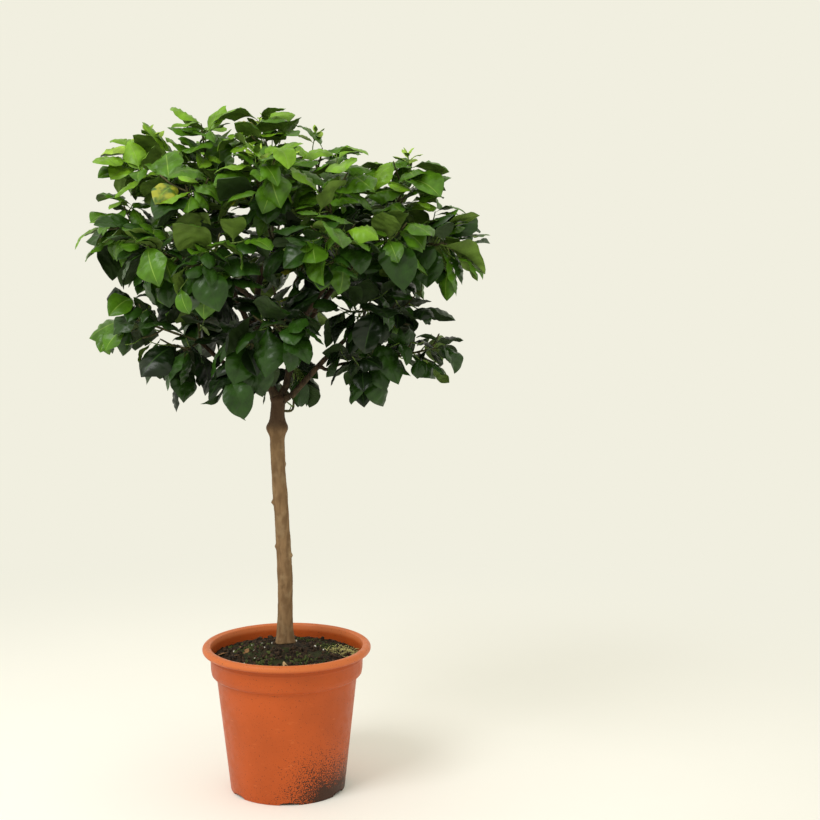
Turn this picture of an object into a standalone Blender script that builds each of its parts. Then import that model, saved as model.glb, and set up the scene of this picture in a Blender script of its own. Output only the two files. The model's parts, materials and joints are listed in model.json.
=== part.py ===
"""A bouquet de fleurs bitter orange, a small standard tree in a round plastic pot of soil.

Metres, +Z up. The origin is the middle of the pot's flat underside. The tree is seen from -Y,
with +X to the right. Every solid keeps GAP to the solid that it meets.
"""
import math
import random
from collections import namedtuple

import bmesh
import bpy
from mathutils import Matrix, Quaternion, Vector, noise
from mathutils.bvhtree import BVHTree

GAP = 0.0003
UP = Vector((0.0, 0.0, 1.0))
GOLDEN_ANGLE = math.radians(137.5)
CURVE_STEPS = 16

# Pot: a tapered body, a shoulder, a straight collar and a rolled lip
POT_SEGMENTS = 32
POT_WALL = 0.0018
POT_FLOOR = 0.0020
POT_FOOT_CHAMFER = 0.0014
POT_BODY = ((0.0014, 0.0806), (0.158, 0.0978), (0.166, 0.1045), (0.170, 0.1060), (0.1964, 0.1070))
LIP_CENTRE = (0.1125, 0.2021)
LIP_RADIUS = 0.0054
LIP_INNER_RADIUS = 0.1058
LIP_ARC = range(-90, 91, 30)
LIP_INNER_CORNERS = ((0.35, 0.86), (0.0, 0.3))
DRAIN_COUNT = 6
DRAIN_WIDTH = 0.027
DRAIN_HEIGHT = 0.004
DRAIN_FROM = 0.067
DRAIN_TURN = math.radians(-85.0)
DRAIN_OUTLINE = ((-0.5, -1.0), (0.5, -1.0), (0.5, 0.4), (0.34, 1.0), (-0.34, 1.0), (-0.5, 0.4))

# Soil: level at the wall, heaped up to a flat spot under the trunk
SOIL_EDGE_HEIGHT = 0.1885
GROUND_HEIGHT = 0.2065
SOIL_RINGS = (0.086, 0.062, 0.038)
SOIL_FLAT_RADIUS = 0.0175
SOIL_LUMP = 0.0022
SOIL_LUMP_SIZE = 0.021
SOIL_HEAP_POWER = 0.8

# Trunk: its leaning centre line, its taper, the root flare and the graft union
TRUNK_SIDES = 10
TRUNK_LINE = (
    (-0.0035, 0.0120, GROUND_HEIGHT + GAP),
    (-0.0021, 0.0100, 0.3064),
    (-0.0088, 0.0050, 0.4439),
    (-0.0104, 0.0010, 0.5134),
    (-0.0086, 0.0000, 0.5490),
)
TRUNK_FOOT_RADIUS = 0.0106
TRUNK_TOP_RADIUS = 0.0099
FLARE_WIDTH = 0.0034
FLARE_HEIGHT = 0.013
FLARE_LOBES = 0.6
GRAFT_HEIGHT = 0.5134
GRAFT_SWELLING = 0.0036
GRAFT_LENGTH = 0.009
GRAFT_LOBES = 0.45
FOOT_RINGS = (0.0, 0.006, 0.015, 0.035)
GRAFT_RINGS = (-0.020, -0.010, -0.003, 0.003, 0.010)
PLAIN_RINGS = 5
HEAD_RADIUS = 0.0126
HEAD_DOME = (5, 30, 54, 74)

# Boughs: name, what it grows from (the trunk, or a bough and how far along it), the points that
# it passes through after its start, and its radius at both ends
BOUGH_SIDES = 6
BOUGH_RINGS = 7
BOUGH_LEAVING_RUN = 0.008
BOUGH_FORWARD = 0.45
BOUGH_TAPER_POWER = 0.8
BOUGH_DOME = (40, 72)
Bough = namedtuple("Bough", "name parent at through radii")
BOUGHS = (
    Bough("bough_leader", "trunk", 1.0,
          ((-0.0215, 0.002, 0.578), (-0.0330, 0.003, 0.640), (-0.0343, 0.000, 0.7065),
           (-0.0120, 0.000, 0.765)), (0.0062, 0.0036)),
    Bough("bough_mid_right", "trunk", 1.0,
          ((0.0030, 0.006, 0.574), (0.0125, 0.012, 0.618), (0.0267, 0.010, 0.6655),
           (0.0600, 0.012, 0.735)), (0.0052, 0.0034)),
    Bough("bough_right", "trunk", 1.0,
          ((0.0115, -0.003, 0.560), (0.0523, -0.006, 0.605), (0.0800, -0.008, 0.632),
           (0.1120, -0.010, 0.662)), (0.0047, 0.0026)),
    Bough("bough_left", "bough_leader", 0.10,
          ((-0.050, -0.012, 0.590), (-0.080, -0.020, 0.606), (-0.112, -0.024, 0.636)),
          (0.0042, 0.0026)),
    Bough("bough_front", "bough_leader", 0.24,
          ((-0.020, -0.040, 0.622), (-0.010, -0.078, 0.655)), (0.0036, 0.0026)),
    Bough("bough_back", "bough_mid_right", 0.18,
          ((0.000, 0.050, 0.612), (-0.018, 0.098, 0.690)), (0.0040, 0.0028)),
    Bough("bough_left_upper", "bough_leader", 0.46,
          ((-0.075, 0.004, 0.712), (-0.125, 0.006, 0.775)), (0.0040, 0.0028)),
    Bough("bough_back_left", "bough_leader", 0.34,
          ((-0.060, 0.045, 0.672), (-0.100, 0.088, 0.732)), (0.0036, 0.0027)),
    Bough("bough_front_left", "bough_leader", 0.62,
          ((-0.058, -0.045, 0.712), (-0.088, -0.088, 0.750)), (0.0036, 0.0027)),
    Bough("bough_right_upper", "bough_mid_right", 0.66,
          ((0.078, 0.006, 0.718), (0.128, 0.000, 0.770)), (0.0036, 0.0027)),
    Bough("bough_back_right", "bough_mid_right", 0.48,
          ((0.050, 0.045, 0.682), (0.085, 0.092, 0.732)), (0.0036, 0.0027)),
    Bough("bough_front_right", "bough_mid_right", 0.56,
          ((0.045, -0.035, 0.690), (0.078, -0.080, 0.738)), (0.0036, 0.0027)),
    Bough("bough_right_low", "bough_right", 0.44,
          ((0.082, -0.014, 0.6045), (0.122, -0.014, 0.6070)), (0.0023, 0.0019)),
)

# Masses of foliage: name, the bough that its stem grows from, its middle and its reach
Mass = namedtuple("Mass", "name bough middle reach")
MASSES = (
    Mass("foliage_top", "bough_leader", (-0.022, 0.000, 0.912), 0.086),
    Mass("foliage_top_front", "bough_leader", (-0.026, -0.122, 0.858), 0.088),
    Mass("foliage_top_back", "bough_leader", (0.000, 0.140, 0.862), 0.090),
    Mass("foliage_top_left", "bough_left_upper", (-0.184, 0.005, 0.882), 0.088),
    Mass("foliage_top_mid_left", "bough_left_upper", (-0.100, 0.025, 0.904), 0.088),
    Mass("foliage_left", "bough_left_upper", (-0.238, 0.000, 0.788), 0.084),
    Mass("foliage_top_right", "bough_mid_right", (0.044, 0.020, 0.884), 0.082),
    Mass("foliage_inner", "bough_mid_right", (0.012, -0.040, 0.740), 0.078),
    Mass("foliage_right_top", "bough_right_upper", (0.172, 0.010, 0.850), 0.084),
    Mass("foliage_far_right", "bough_right_upper", (0.236, -0.015, 0.762), 0.082),
    Mass("foliage_right_middle", "bough_right_upper", (0.150, -0.100, 0.770), 0.082),
    Mass("foliage_right_low", "bough_right", (0.168, 0.005, 0.676), 0.076),
    Mass("foliage_right_front_low", "bough_right", (0.110, -0.085, 0.686), 0.080),
    Mass("foliage_low_right", "bough_right_low", (0.118, -0.035, 0.606), 0.068),
    Mass("foliage_right_tip", "bough_right_low", (0.215, -0.010, 0.624), 0.058),
    Mass("foliage_front_right", "bough_front_right", (0.078, -0.165, 0.780), 0.084),
    Mass("foliage_front_top_right", "bough_front_right", (0.066, -0.092, 0.846), 0.082),
    Mass("foliage_front_top_left", "bough_front_left", (-0.120, -0.108, 0.852), 0.088),
    Mass("foliage_front_left", "bough_front_left", (-0.176, -0.095, 0.756), 0.086),
    Mass("foliage_front_middle", "bough_front_left", (-0.078, -0.172, 0.750), 0.086),
    Mass("foliage_front_low", "bough_front", (0.000, -0.135, 0.666), 0.080),
    Mass("foliage_low_left", "bough_front", (-0.058, -0.085, 0.602), 0.078),
    Mass("foliage_left_low", "bough_left", (-0.138, -0.045, 0.616), 0.082),
    Mass("foliage_left_twig", "bough_left", (-0.220, -0.010, 0.668), 0.064),
    Mass("foliage_left_middle", "bough_left", (-0.130, 0.010, 0.704), 0.076),
    Mass("foliage_back", "bough_back", (-0.045, 0.185, 0.750), 0.088),
    Mass("foliage_back_low", "bough_back", (-0.020, 0.120, 0.662), 0.080),
    Mass("foliage_back_low_left", "bough_back_left", (-0.110, 0.095, 0.654), 0.084),
    Mass("foliage_back_left", "bough_back_left", (-0.184, 0.105, 0.750), 0.086),
    Mass("foliage_back_top_left", "bough_back_left", (-0.108, 0.130, 0.852), 0.088),
    Mass("foliage_back_right", "bough_back_right", (0.062, 0.175, 0.740), 0.086),
    Mass("foliage_back_top_right", "bough_back_right", (0.100, 0.118, 0.816), 0.084),
    Mass("foliage_back_far_right", "bough_back_right", (0.164, 0.100, 0.732), 0.084),
    Mass("foliage_by_trunk", "trunk", (0.016, 0.026, 0.588), 0.060),
)
MASS_FLATNESS = 0.92
CROWN_LOW = (-0.287, -0.250, 0.534)
CROWN_HIGH = (0.284, 0.250, 0.953)
SPACE_SHARED = 0.16

# Stems: one to a mass, from its bough's tip or the trunk's side, turned apart where several leave
TRUNK_SHOOT_HEIGHT = 0.536
TRUNK_STAND_OFF = 1.04
STEM_RADII = (0.0021, 0.0016)
STEM_POINTS = 5
STEM_BARE = 0.52
STEM_SHORT_OF_MIDDLE = 0.10
STEM_RISE = 0.05
STEM_FIRST_RUN = 0.02
STEM_TRIES = 40
STEM_BOW = 0.012
STEMS_APART = math.radians(64.0)
SPREAD_ROUNDS = 60
SPREAD_PUSH = 0.04
LEAST_FORWARD = 0.2

# Shoots: round a stem's outer half, in shares of the mass's reach
SEED = 9
TWIG_SIDES = 3
SHOOTS = 3
SHOOT_RADII = (0.0017, 0.0013)
SHOOT_POINTS = 3
SHOOT_BARE = 0.30
SHOOTS_FROM = 0.48
SHOOTS_TO = 0.90
SHOOT_LENGTHS = (0.50, 0.40, 0.30)
SHOOT_LEAN = math.radians(52.0)
SHOOT_RISE = 0.3
SHOOT_TURN_AGAIN = 0.5

# Leaves: their places, their size and form, and how they lie
LEAF_STEP = 0.0136
LAST_LEAF = 0.97
LEAF_LENGTH = (0.064, 0.084)
LEAF_WIDTH = (0.60, 0.70)
LEAF_SECTIONS = ((0.34, 0.94, 0.0022), (0.70, 0.82, 0.0010))
LEAF_ROOT_DEPTH = 0.0006
LEAF_FOLD = 0.26
LEAF_OUTER_SIZE = (1.04, 0.90)
LEAF_TRIES = 14
LEAF_SMALLER = 0.028
LEAF_SWING = (0.35, 0.175)
LEAF_LEAN = (40.0, 88.0)
LEAF_DROOP = (-0.05, 0.30)
LEAF_ROLL = 0.5
LEAF_BEND = (18.0, 95.0)
HANG_BELOW = 0.76
HANG = 0.9
CLEARANCE = 0.0004

# A leaf's last two corners
TIP = 8
ROOT = 9

Leaf = namedtuple("Leaf", "root along side length width bend")
Twig = namedtuple("Twig", "owner line radii bare")


def clear_scene():
    for old in list(bpy.data.objects):
        bpy.data.objects.remove(old, do_unlink=True)


def material(name, colour, roughness):
    surface = bpy.data.materials.new(name)
    surface.use_nodes = True
    shader = surface.node_tree.nodes["Principled BSDF"]
    shader.inputs["Base Color"].default_value = (*colour, 1.0)
    shader.inputs["Roughness"].default_value = roughness
    shader.inputs["Metallic"].default_value = 0.0
    return surface


def add_object(name, verts, faces, surface):
    """A named object with one closed mesh whose faces point out."""
    mesh = bpy.data.meshes.new(name)
    shape = bmesh.new()
    corners = [shape.verts.new(v) for v in verts]
    for face in faces:
        shape.faces.new([corners[i] for i in face])
    bmesh.ops.recalc_face_normals(shape, faces=shape.faces)
    shape.to_mesh(mesh)
    shape.free()
    mesh.materials.append(surface)
    item = bpy.data.objects.new(name, mesh)
    bpy.context.collection.objects.link(item)
    return item


def apply_modifiers(item):
    """Replaces an object's mesh by what its modifiers make of it."""
    graph = bpy.context.evaluated_depsgraph_get()
    finished = bpy.data.meshes.new_from_object(item.evaluated_get(graph))
    plain = item.data
    item.modifiers.clear()
    item.data = finished
    bpy.data.meshes.remove(plain)


def skin(rings):
    """Corners and faces of a closed skin over rings of equal count, with a flat cap at each end."""
    count = len(rings[0])
    verts = [corner for ring in rings for corner in ring]
    faces = [tuple(reversed(range(count)))]
    for low in range(0, len(verts) - count, count):
        for i in range(count):
            j = (i + 1) % count
            faces.append((low + i, low + j, low + count + j, low + count + i))
    faces.append(tuple(range(len(verts) - count, len(verts))))
    return verts, faces


def mix(a, b, share):
    return a + (b - a) * share


def read_steps(steps, at):
    """The value at a place along a list of (place, value), straight between its entries."""
    for (low, a), (high, b) in zip(steps, steps[1:]):
        if at <= high:
            return mix(a, b, max(0.0, (at - low) / (high - low)))
    return steps[-1][1]


def smooth_line(points, count):
    """Points evenly spread along a smooth curve through the given ones."""
    points = [Vector(p) for p in points]
    ends = [points[0] * 2 - points[1], *points, points[-1] * 2 - points[-2]]
    fine = []
    for a, b, c, d in zip(ends, ends[1:], ends[2:], ends[3:]):
        for i in range(CURVE_STEPS):
            t = i / CURVE_STEPS
            fine.append(0.5 * (2 * b + (c - a) * t + (2 * a - 5 * b + 4 * c - d) * t * t
                               + (3 * b - a - 3 * c + d) * t ** 3))
    fine.append(points[-1])
    lengths = [0.0]
    for a, b in zip(fine, fine[1:]):
        lengths.append(lengths[-1] + (b - a).length)
    line = []
    for i in range(count):
        wanted = lengths[-1] * i / (count - 1)
        k = max(j for j, length in enumerate(lengths[:-1]) if length <= wanted)
        line.append(fine[k].lerp(fine[k + 1], (wanted - lengths[k]) / (lengths[k + 1] - lengths[k])))
    return line


def place_along(line, share):
    """The point at a share of the way along an evenly stepped line, and the way on from it."""
    spot = share * (len(line) - 1)
    low = min(int(spot), len(line) - 2)
    return line[low].lerp(line[low + 1], spot - low), (line[low + 1] - line[low]).normalized()


def across(direction, hint=UP):
    """A unit vector square to the direction, in the plane of the hint where there is one."""
    side = hint - direction * hint.dot(direction)
    if side.length < 0.05:
        side = direction.orthogonal()
    return side.normalized()


def tangents(line):
    before = [line[0], *line[:-1]]
    after = [*line[1:], line[-1]]
    return [(b - a).normalized() for a, b in zip(before, after)]


def tube_rings(line, radii, sides, leave=None):
    """Rings along a line, turned as little as they can be from one to the next.

    The first ring is square to leave where that is given, and otherwise to the line.
    """
    rings = []
    ahead = tangents(line)
    if leave is not None:
        ahead[0] = leave
    side = across(ahead[0])
    for point, forward, radius in zip(line, ahead, radii):
        side = across(forward, side)
        other = forward.cross(side)
        rings.append([point + radius * (side * math.cos(a) + other * math.sin(a))
                      for a in (math.tau * i / sides for i in range(sides))])
    return rings


def turned(profile, segments):
    """A closed skin turned about Z from (radius, height) pairs, with a cap at both ends."""
    return skin([[Vector((radius * math.cos(a), radius * math.sin(a), height))
                  for a in (math.tau * i / segments for i in range(segments))]
                 for radius, height in profile])


def pot_inner_radius(height):
    return read_steps(POT_BODY, height) - POT_WALL


def make_pot():
    lip_radius, lip_height = LIP_CENTRE
    profile = [(POT_BODY[0][1] - POT_FOOT_CHAMFER, 0.0)]
    profile += [(radius, height) for height, radius in POT_BODY]
    for degrees in LIP_ARC:
        turn = math.radians(degrees)
        profile.append((lip_radius + LIP_RADIUS * math.cos(turn),
                        lip_height + LIP_RADIUS * math.sin(turn)))
    for outward, rise in LIP_INNER_CORNERS:
        profile.append((mix(LIP_INNER_RADIUS, lip_radius, outward),
                        lip_height + LIP_RADIUS * rise))
    profile += [(radius - POT_WALL, height) for height, radius in reversed(POT_BODY[1:])]
    profile.append((pot_inner_radius(POT_FLOOR), POT_FLOOR))
    pot = add_object("pot", *turned(profile, POT_SEGMENTS),
                     material("pot_plastic", (0.56, 0.125, 0.045), 0.5))
    cut_drains(pot)


def cut_drains(pot):
    """Low notches round the foot, from the underside out through the wall."""
    outer = POT_BODY[0][1] + 5 * POT_WALL
    corners = []
    faces = []
    for i in range(DRAIN_COUNT):
        turn = Matrix.Rotation(DRAIN_TURN + math.tau * i / DRAIN_COUNT, 3, "Z")
        first = len(corners)
        for x in (DRAIN_FROM, outer):
            for y, z in DRAIN_OUTLINE:
                corners.append(turn @ Vector((x, y * DRAIN_WIDTH, z * DRAIN_HEIGHT)))
        near = [first + k for k in range(len(DRAIN_OUTLINE))]
        far = [k + len(DRAIN_OUTLINE) for k in near]
        faces += [near, far]
        faces += list(zip(near, near[1:] + near[:1], far[1:] + far[:1], far))
    cutter = add_object("pot_drain_cutter", corners, faces, pot.data.materials[0])
    cutter.hide_render = True
    cutter.display_type = "WIRE"
    cut = pot.modifiers.new("drains", "BOOLEAN")
    cut.object = cutter
    cut.operation = "DIFFERENCE"


def soil_height(radius, turn):
    """The height of the soil's surface: a heap with lumps that die out at its edge and middle."""
    share = max(0.0, min(1.0, (radius - SOIL_FLAT_RADIUS) / (pot_inner_radius(SOIL_EDGE_HEIGHT)
                                                             - SOIL_FLAT_RADIUS)))
    heap = mix(GROUND_HEIGHT, SOIL_EDGE_HEIGHT, share ** SOIL_HEAP_POWER)
    spot = Vector((radius * math.cos(turn), radius * math.sin(turn), 0.0)) / SOIL_LUMP_SIZE
    return heap + SOIL_LUMP * math.sin(math.pi * share) * noise.noise(spot)


def make_soil():
    count = POT_SEGMENTS
    turns = [math.tau * i / count for i in range(count)]
    heights = [POT_FLOOR + GAP, *(height for height, _ in POT_BODY[1:-1]), SOIL_EDGE_HEIGHT]
    rings = []
    for height in heights:
        radius = pot_inner_radius(height) - GAP
        rings.append([Vector((radius * math.cos(a), radius * math.sin(a), height)) for a in turns])
    for radius in (*SOIL_RINGS, SOIL_FLAT_RADIUS):
        rings.append([Vector((radius * math.cos(a), radius * math.sin(a), soil_height(radius, a)))
                      for a in turns])
    add_object("soil", *skin(rings), material("potting_soil", (0.035, 0.025, 0.018), 0.95))


def trunk_radius(height):
    share = (height - TRUNK_LINE[0][2]) / (TRUNK_LINE[-1][2] - TRUNK_LINE[0][2])
    return mix(TRUNK_FOOT_RADIUS, TRUNK_TOP_RADIUS, share)


def trunk_line():
    """The trunk's centre line, with its points close together at the foot and at the graft."""
    fine = smooth_line(TRUNK_LINE, 60)
    foot = [TRUNK_LINE[0][2] + rise for rise in FOOT_RINGS]
    graft = [GRAFT_HEIGHT + rise for rise in GRAFT_RINGS]
    plain = [mix(foot[-1], graft[0], i / (PLAIN_RINGS + 1)) for i in range(1, PLAIN_RINGS + 1)]
    line = []
    for height in (*foot, *plain, *graft, TRUNK_LINE[-1][2]):
        x = read_steps([(point.z, point.x) for point in fine], height)
        y = read_steps([(point.z, point.y) for point in fine], height)
        line.append(Vector((x, y, height)))
    return line


def make_trunk(line):
    """The stem with its lobed root flare, the lopsided graft union and a round head."""
    rings = []
    for point in line:
        rise = point.z - GROUND_HEIGHT
        flare = FLARE_WIDTH * math.exp(-rise / FLARE_HEIGHT)
        graft = GRAFT_SWELLING * math.exp(-((point.z - GRAFT_HEIGHT) / GRAFT_LENGTH) ** 2)
        ring = []
        for i in range(TRUNK_SIDES):
            turn = math.tau * i / TRUNK_SIDES
            radius = trunk_radius(point.z) + flare * (1 + FLARE_LOBES * math.cos(3 * turn + 0.6))
            radius += graft * (1 + GRAFT_LOBES * math.cos(2 * turn + 0.4))
            ring.append(point + radius * Vector((math.cos(turn), math.sin(turn), 0.0)))
        rings.append(ring)
    head = line[-1]
    for degrees in HEAD_DOME:
        rise = math.radians(degrees)
        rings.append([head + HEAD_RADIUS * Vector((math.cos(rise) * math.cos(a),
                                                   math.cos(rise) * math.sin(a), math.sin(rise)))
                      for a in (math.tau * i / TRUNK_SIDES for i in range(TRUNK_SIDES))])
    return skin(rings)


def bough_line(bough, trunk, grown):
    """A bough's centre line and its first direction.

    Its flat end stands GAP clear of what it grows from.
    """
    aim = Vector(bough.through[0])
    if bough.parent == "trunk":
        leave = (aim - trunk[-1]).normalized()
        start = trunk[-1] + leave * (HEAD_RADIUS + GAP)
    else:
        line, radii = grown[bough.parent]
        foot, forward = place_along(line, bough.at)
        leave = (aim - foot).normalized()
        leave = (across(forward, leave) + forward * BOUGH_FORWARD).normalized()
        slant = leave.dot(forward)
        outward = math.sqrt(1 - slant * slant)
        thick = radii[int(bough.at * (len(line) - 1))]
        start = foot + leave * ((thick + GAP + bough.radii[0] * slant) / outward)
    through = [start, start + leave * BOUGH_LEAVING_RUN, *bough.through]
    return smooth_line(through, BOUGH_RINGS), leave


def bough_rings(line, radii, leave):
    """A bough's rings, with a small dome past its last point."""
    rings = tube_rings(line, radii, BOUGH_SIDES, leave)
    forward = tangents(line)[-1]
    for degrees in BOUGH_DOME:
        rise = math.radians(degrees)
        rings.append([line[-1] + (corner - line[-1]) * math.cos(rise)
                      + forward * radii[-1] * math.sin(rise) for corner in rings[len(line) - 1]])
    return rings


class Placed:
    """The closed meshes placed so far, asked whether a new one would touch them."""

    def __init__(self):
        self.items = []

    def add(self, owner, verts, faces):
        low = [min(v[k] for v in verts) for k in range(3)]
        high = [max(v[k] for v in verts) for k in range(3)]
        self.items.append((owner, low, high, BVHTree.FromPolygons(verts, faces)))

    def is_clear(self, verts, faces, leave_out=()):
        low = [min(v[k] for v in verts) - CLEARANCE for k in range(3)]
        high = [max(v[k] for v in verts) + CLEARANCE for k in range(3)]
        tree = None
        for owner, other_low, other_high, other in self.items:
            if owner in leave_out:
                continue
            if any(low[k] > other_high[k] or high[k] < other_low[k] for k in range(3)):
                continue
            if tree is None:
                tree = BVHTree.FromPolygons(verts, faces)
            if tree.overlap(other):
                return False
        return True


def distance_in(mass, point):
    """How far out of a mass's middle a point lies, as a share of the mass's reach."""
    away = point - Vector(mass.middle)
    away.z /= MASS_FLATNESS
    return away.length / mass.reach


def in_space(mass, points):
    """Whether all the points lie in a mass's own share of the crown, within its reach."""
    for point in points:
        own = distance_in(mass, point)
        if own > 1.0 or any(not CROWN_LOW[k] < point[k] < CROWN_HIGH[k] for k in range(3)):
            return False
        if any(distance_in(other, point) < own - SPACE_SHARED for other in MASSES):
            return False
    return True


def spread_apart(directions, axis):
    """Turns directions from one tip away from each other and forward of it."""
    spread = [d.normalized() for d in directions]
    for _ in range(SPREAD_ROUNDS):
        for i, a in enumerate(spread):
            for j, b in enumerate(spread):
                if i < j and a.angle(b, 0.0) < STEMS_APART:
                    push = (a - b).normalized() * SPREAD_PUSH
                    spread[i] = (spread[i] + push).normalized()
                    spread[j] = (spread[j] - push).normalized()
            if spread[i].dot(axis) < LEAST_FORWARD:
                spread[i] = (spread[i] + axis * SPREAD_PUSH).normalized()
    return spread


def twig_mesh(line, radii, swell=0.0):
    """A three-sided twig that tapers to a blunt end."""
    count = len(line)
    widths = [mix(radii[0], radii[1], i / (count - 1)) + swell for i in range(count)]
    return skin(tube_rings(line, widths, TWIG_SIDES))


def leaf_spine(leaf, share):
    """The midrib's place and its upper side at a share of the leaf's length, along an arc."""
    over = leaf.side.cross(leaf.along)
    turn = leaf.bend * share
    run = leaf.length / leaf.bend
    place = leaf.root + leaf.along * (run * math.sin(turn)) - over * (run * (1 - math.cos(turn)))
    return place, over * math.cos(turn) + leaf.along * math.sin(turn)


def leaf_mesh(leaf, swell=0.0):
    """A thin folded blade: a point at the root, two four-cornered sections and a point."""
    half = leaf.width * leaf.length / 2
    verts = []
    for share, width, thickness in LEAF_SECTIONS:
        place, over = leaf_spine(leaf, share)
        reach = half * width + swell
        rise = over * (reach * LEAF_FOLD)
        thick = over * (thickness / 2 + swell)
        verts += [place - leaf.side * reach + rise, place + thick,
                  place + leaf.side * reach + rise, place - thick]
    verts.append(leaf_spine(leaf, 1.0)[0])
    verts.append(leaf.root - leaf.along * LEAF_ROOT_DEPTH)
    faces = []
    for i in range(4):
        j = (i + 1) % 4
        faces += [(ROOT, j, i), (i, j, 4 + j, 4 + i), (4 + i, 4 + j, TIP)]
    return verts, faces


def choose_leaf(rng, root, forward, outward, size):
    """A leaf that leaves its twig, droops under its weight and turns its upper side up."""
    lean = math.radians(rng.uniform(*LEAF_LEAN))
    along = forward * math.cos(lean) + outward * math.sin(lean)
    hang = HANG * max(0.0, (HANG_BELOW - root.z) / (HANG_BELOW - TRUNK_LINE[-1][2]))
    along = (along - UP * (rng.uniform(*LEAF_DROOP) + hang)).normalized()
    side = along.cross(UP)
    if side.length < 0.2:
        side = along.cross(outward)
    side = (Quaternion(along, rng.uniform(-LEAF_ROLL, LEAF_ROLL)) @ side).normalized()
    return Leaf(root, along, side, rng.uniform(*LEAF_LENGTH) * size, rng.uniform(*LEAF_WIDTH),
                math.radians(rng.uniform(*LEAF_BEND)))


def plan_stems(lines, placed, rng):
    """The stem of every mass, from its bough's tip or the trunk's side to the mass's middle."""
    stems = {}
    for bough_name in dict.fromkeys(mass.bough for mass in MASSES):
        fed = [mass for mass in MASSES if mass.bough == bough_name]
        line, radii = lines[bough_name]
        if bough_name == "trunk":
            share = (TRUNK_SHOOT_HEIGHT - line[-2].z) / (line[-1].z - line[-2].z)
            root = line[-2].lerp(line[-1], share)
            stand_off = trunk_radius(root.z) * TRUNK_STAND_OFF
            leaving = [across(UP, Vector(mass.middle) - root) for mass in fed]
        else:
            root = line[-1]
            stand_off = radii[-1]
            leaving = spread_apart([Vector(mass.middle) - root for mass in fed], tangents(line)[-1])
        for mass, leave in zip(fed, leaving):
            start = root + leave * (stand_off + GAP)
            stems[mass.name] = plan_stem(mass, start, leave, placed, rng)
    return stems


def plan_stem(mass, start, leave, placed, rng):
    """A stem that bows clear of the limbs and stems that are there already."""
    middle = Vector(mass.middle)
    inward = (middle - start).normalized()
    end = middle + mass.reach * (UP * STEM_RISE - inward * STEM_SHORT_OF_MIDDLE)
    span = (end - start).length
    first = start + leave * min(0.3 * span, STEM_FIRST_RUN)
    for attempt in range(STEM_TRIES):
        bow = Vector([rng.uniform(-1, 1) for _ in range(3)]) * span * STEM_BOW * attempt
        line = smooth_line((start, first, first.lerp(end, 0.55) + bow, end), STEM_POINTS)
        whole = twig_mesh(line, STEM_RADII, CLEARANCE)
        onward = twig_mesh(line[1:], STEM_RADII, CLEARANCE)
        if placed.is_clear(*whole, leave_out=(mass.bough,)) and placed.is_clear(*onward):
            placed.add(mass.name + "_stem", *twig_mesh(line, STEM_RADII))
            return line
    raise ValueError("no free way for the stem of " + mass.name)


def plan_shoots(mass, stem, placed, rng):
    """Side shoots round the stem's outer half; one that leaves the space is left out."""
    twigs = [Twig(mass.name + "_stem", stem, STEM_RADII, STEM_BARE)]
    ahead = tangents(stem)[-1]
    turn = rng.uniform(0, math.tau)
    for k in range(SHOOTS):
        turn += GOLDEN_ANGLE
        root, _ = place_along(stem, mix(SHOOTS_FROM, SHOOTS_TO, k / (SHOOTS - 1)))
        for length in SHOOT_LENGTHS:
            aside = Quaternion(ahead, turn) @ across(ahead)
            leave = ahead * math.cos(SHOOT_LEAN) + aside * math.sin(SHOOT_LEAN)
            reach = mass.reach * length
            middle = root + leave * reach / 2
            tip = middle + (leave + UP * SHOOT_RISE).normalized() * reach / 2
            line = smooth_line((root, middle, tip), SHOOT_POINTS)
            free = placed.is_clear(*twig_mesh(line, SHOOT_RADII, CLEARANCE),
                                   leave_out=(mass.name + "_stem",))
            if free and in_space(mass, line[1:]):
                shoot = Twig("%s_shoot_%d" % (mass.name, k), line, SHOOT_RADII, SHOOT_BARE)
                placed.add(shoot.owner, *twig_mesh(line, SHOOT_RADII))
                twigs.append(shoot)
                break
            turn += SHOOT_TURN_AGAIN
    return twigs


def leaf_places(twigs):
    """Where leaves may stand: the twig, the place, the way on and the share of the way out."""
    places = []
    for twig in twigs:
        line = twig.line
        length = sum((b - a).length for a, b in zip(line, line[1:]))
        steps = max(2, int(length * (1 - twig.bare) / LEAF_STEP))
        for i in range(steps + 1):
            root, forward = place_along(line, mix(twig.bare, LAST_LEAF, i / steps))
            places.append((twig.owner, root, forward, i / steps))
    return places


def grow_leaves(mass, twigs, placed, rng):
    """Leaves in a spiral up each twig; one that would touch or leave the space is skipped."""
    leaves = []
    turn = rng.uniform(0, math.tau)
    for own, root, forward, share in leaf_places(twigs):
        turn += GOLDEN_ANGLE
        for attempt in range(LEAF_TRIES):
            swing = turn + rng.uniform(-1, 1) * (LEAF_SWING[0] + LEAF_SWING[1] * attempt)
            outward = Quaternion(forward, swing) @ across(forward)
            size = mix(*LEAF_OUTER_SIZE, share) * (1 - LEAF_SMALLER * attempt)
            leaf = choose_leaf(rng, root, forward, outward, size)
            verts, faces = leaf_mesh(leaf, CLEARANCE)
            if not in_space(mass, verts[:ROOT]):
                continue
            if not placed.is_clear(verts, faces, leave_out=(own,)):
                continue
            if not placed.is_clear(verts[:ROOT], [face for face in faces if ROOT not in face]):
                continue
            placed.add("%s_leaf_%d" % (mass.name, len(leaves)), *leaf_mesh(leaf))
            leaves.append(leaf)
            break
    return leaves


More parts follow.
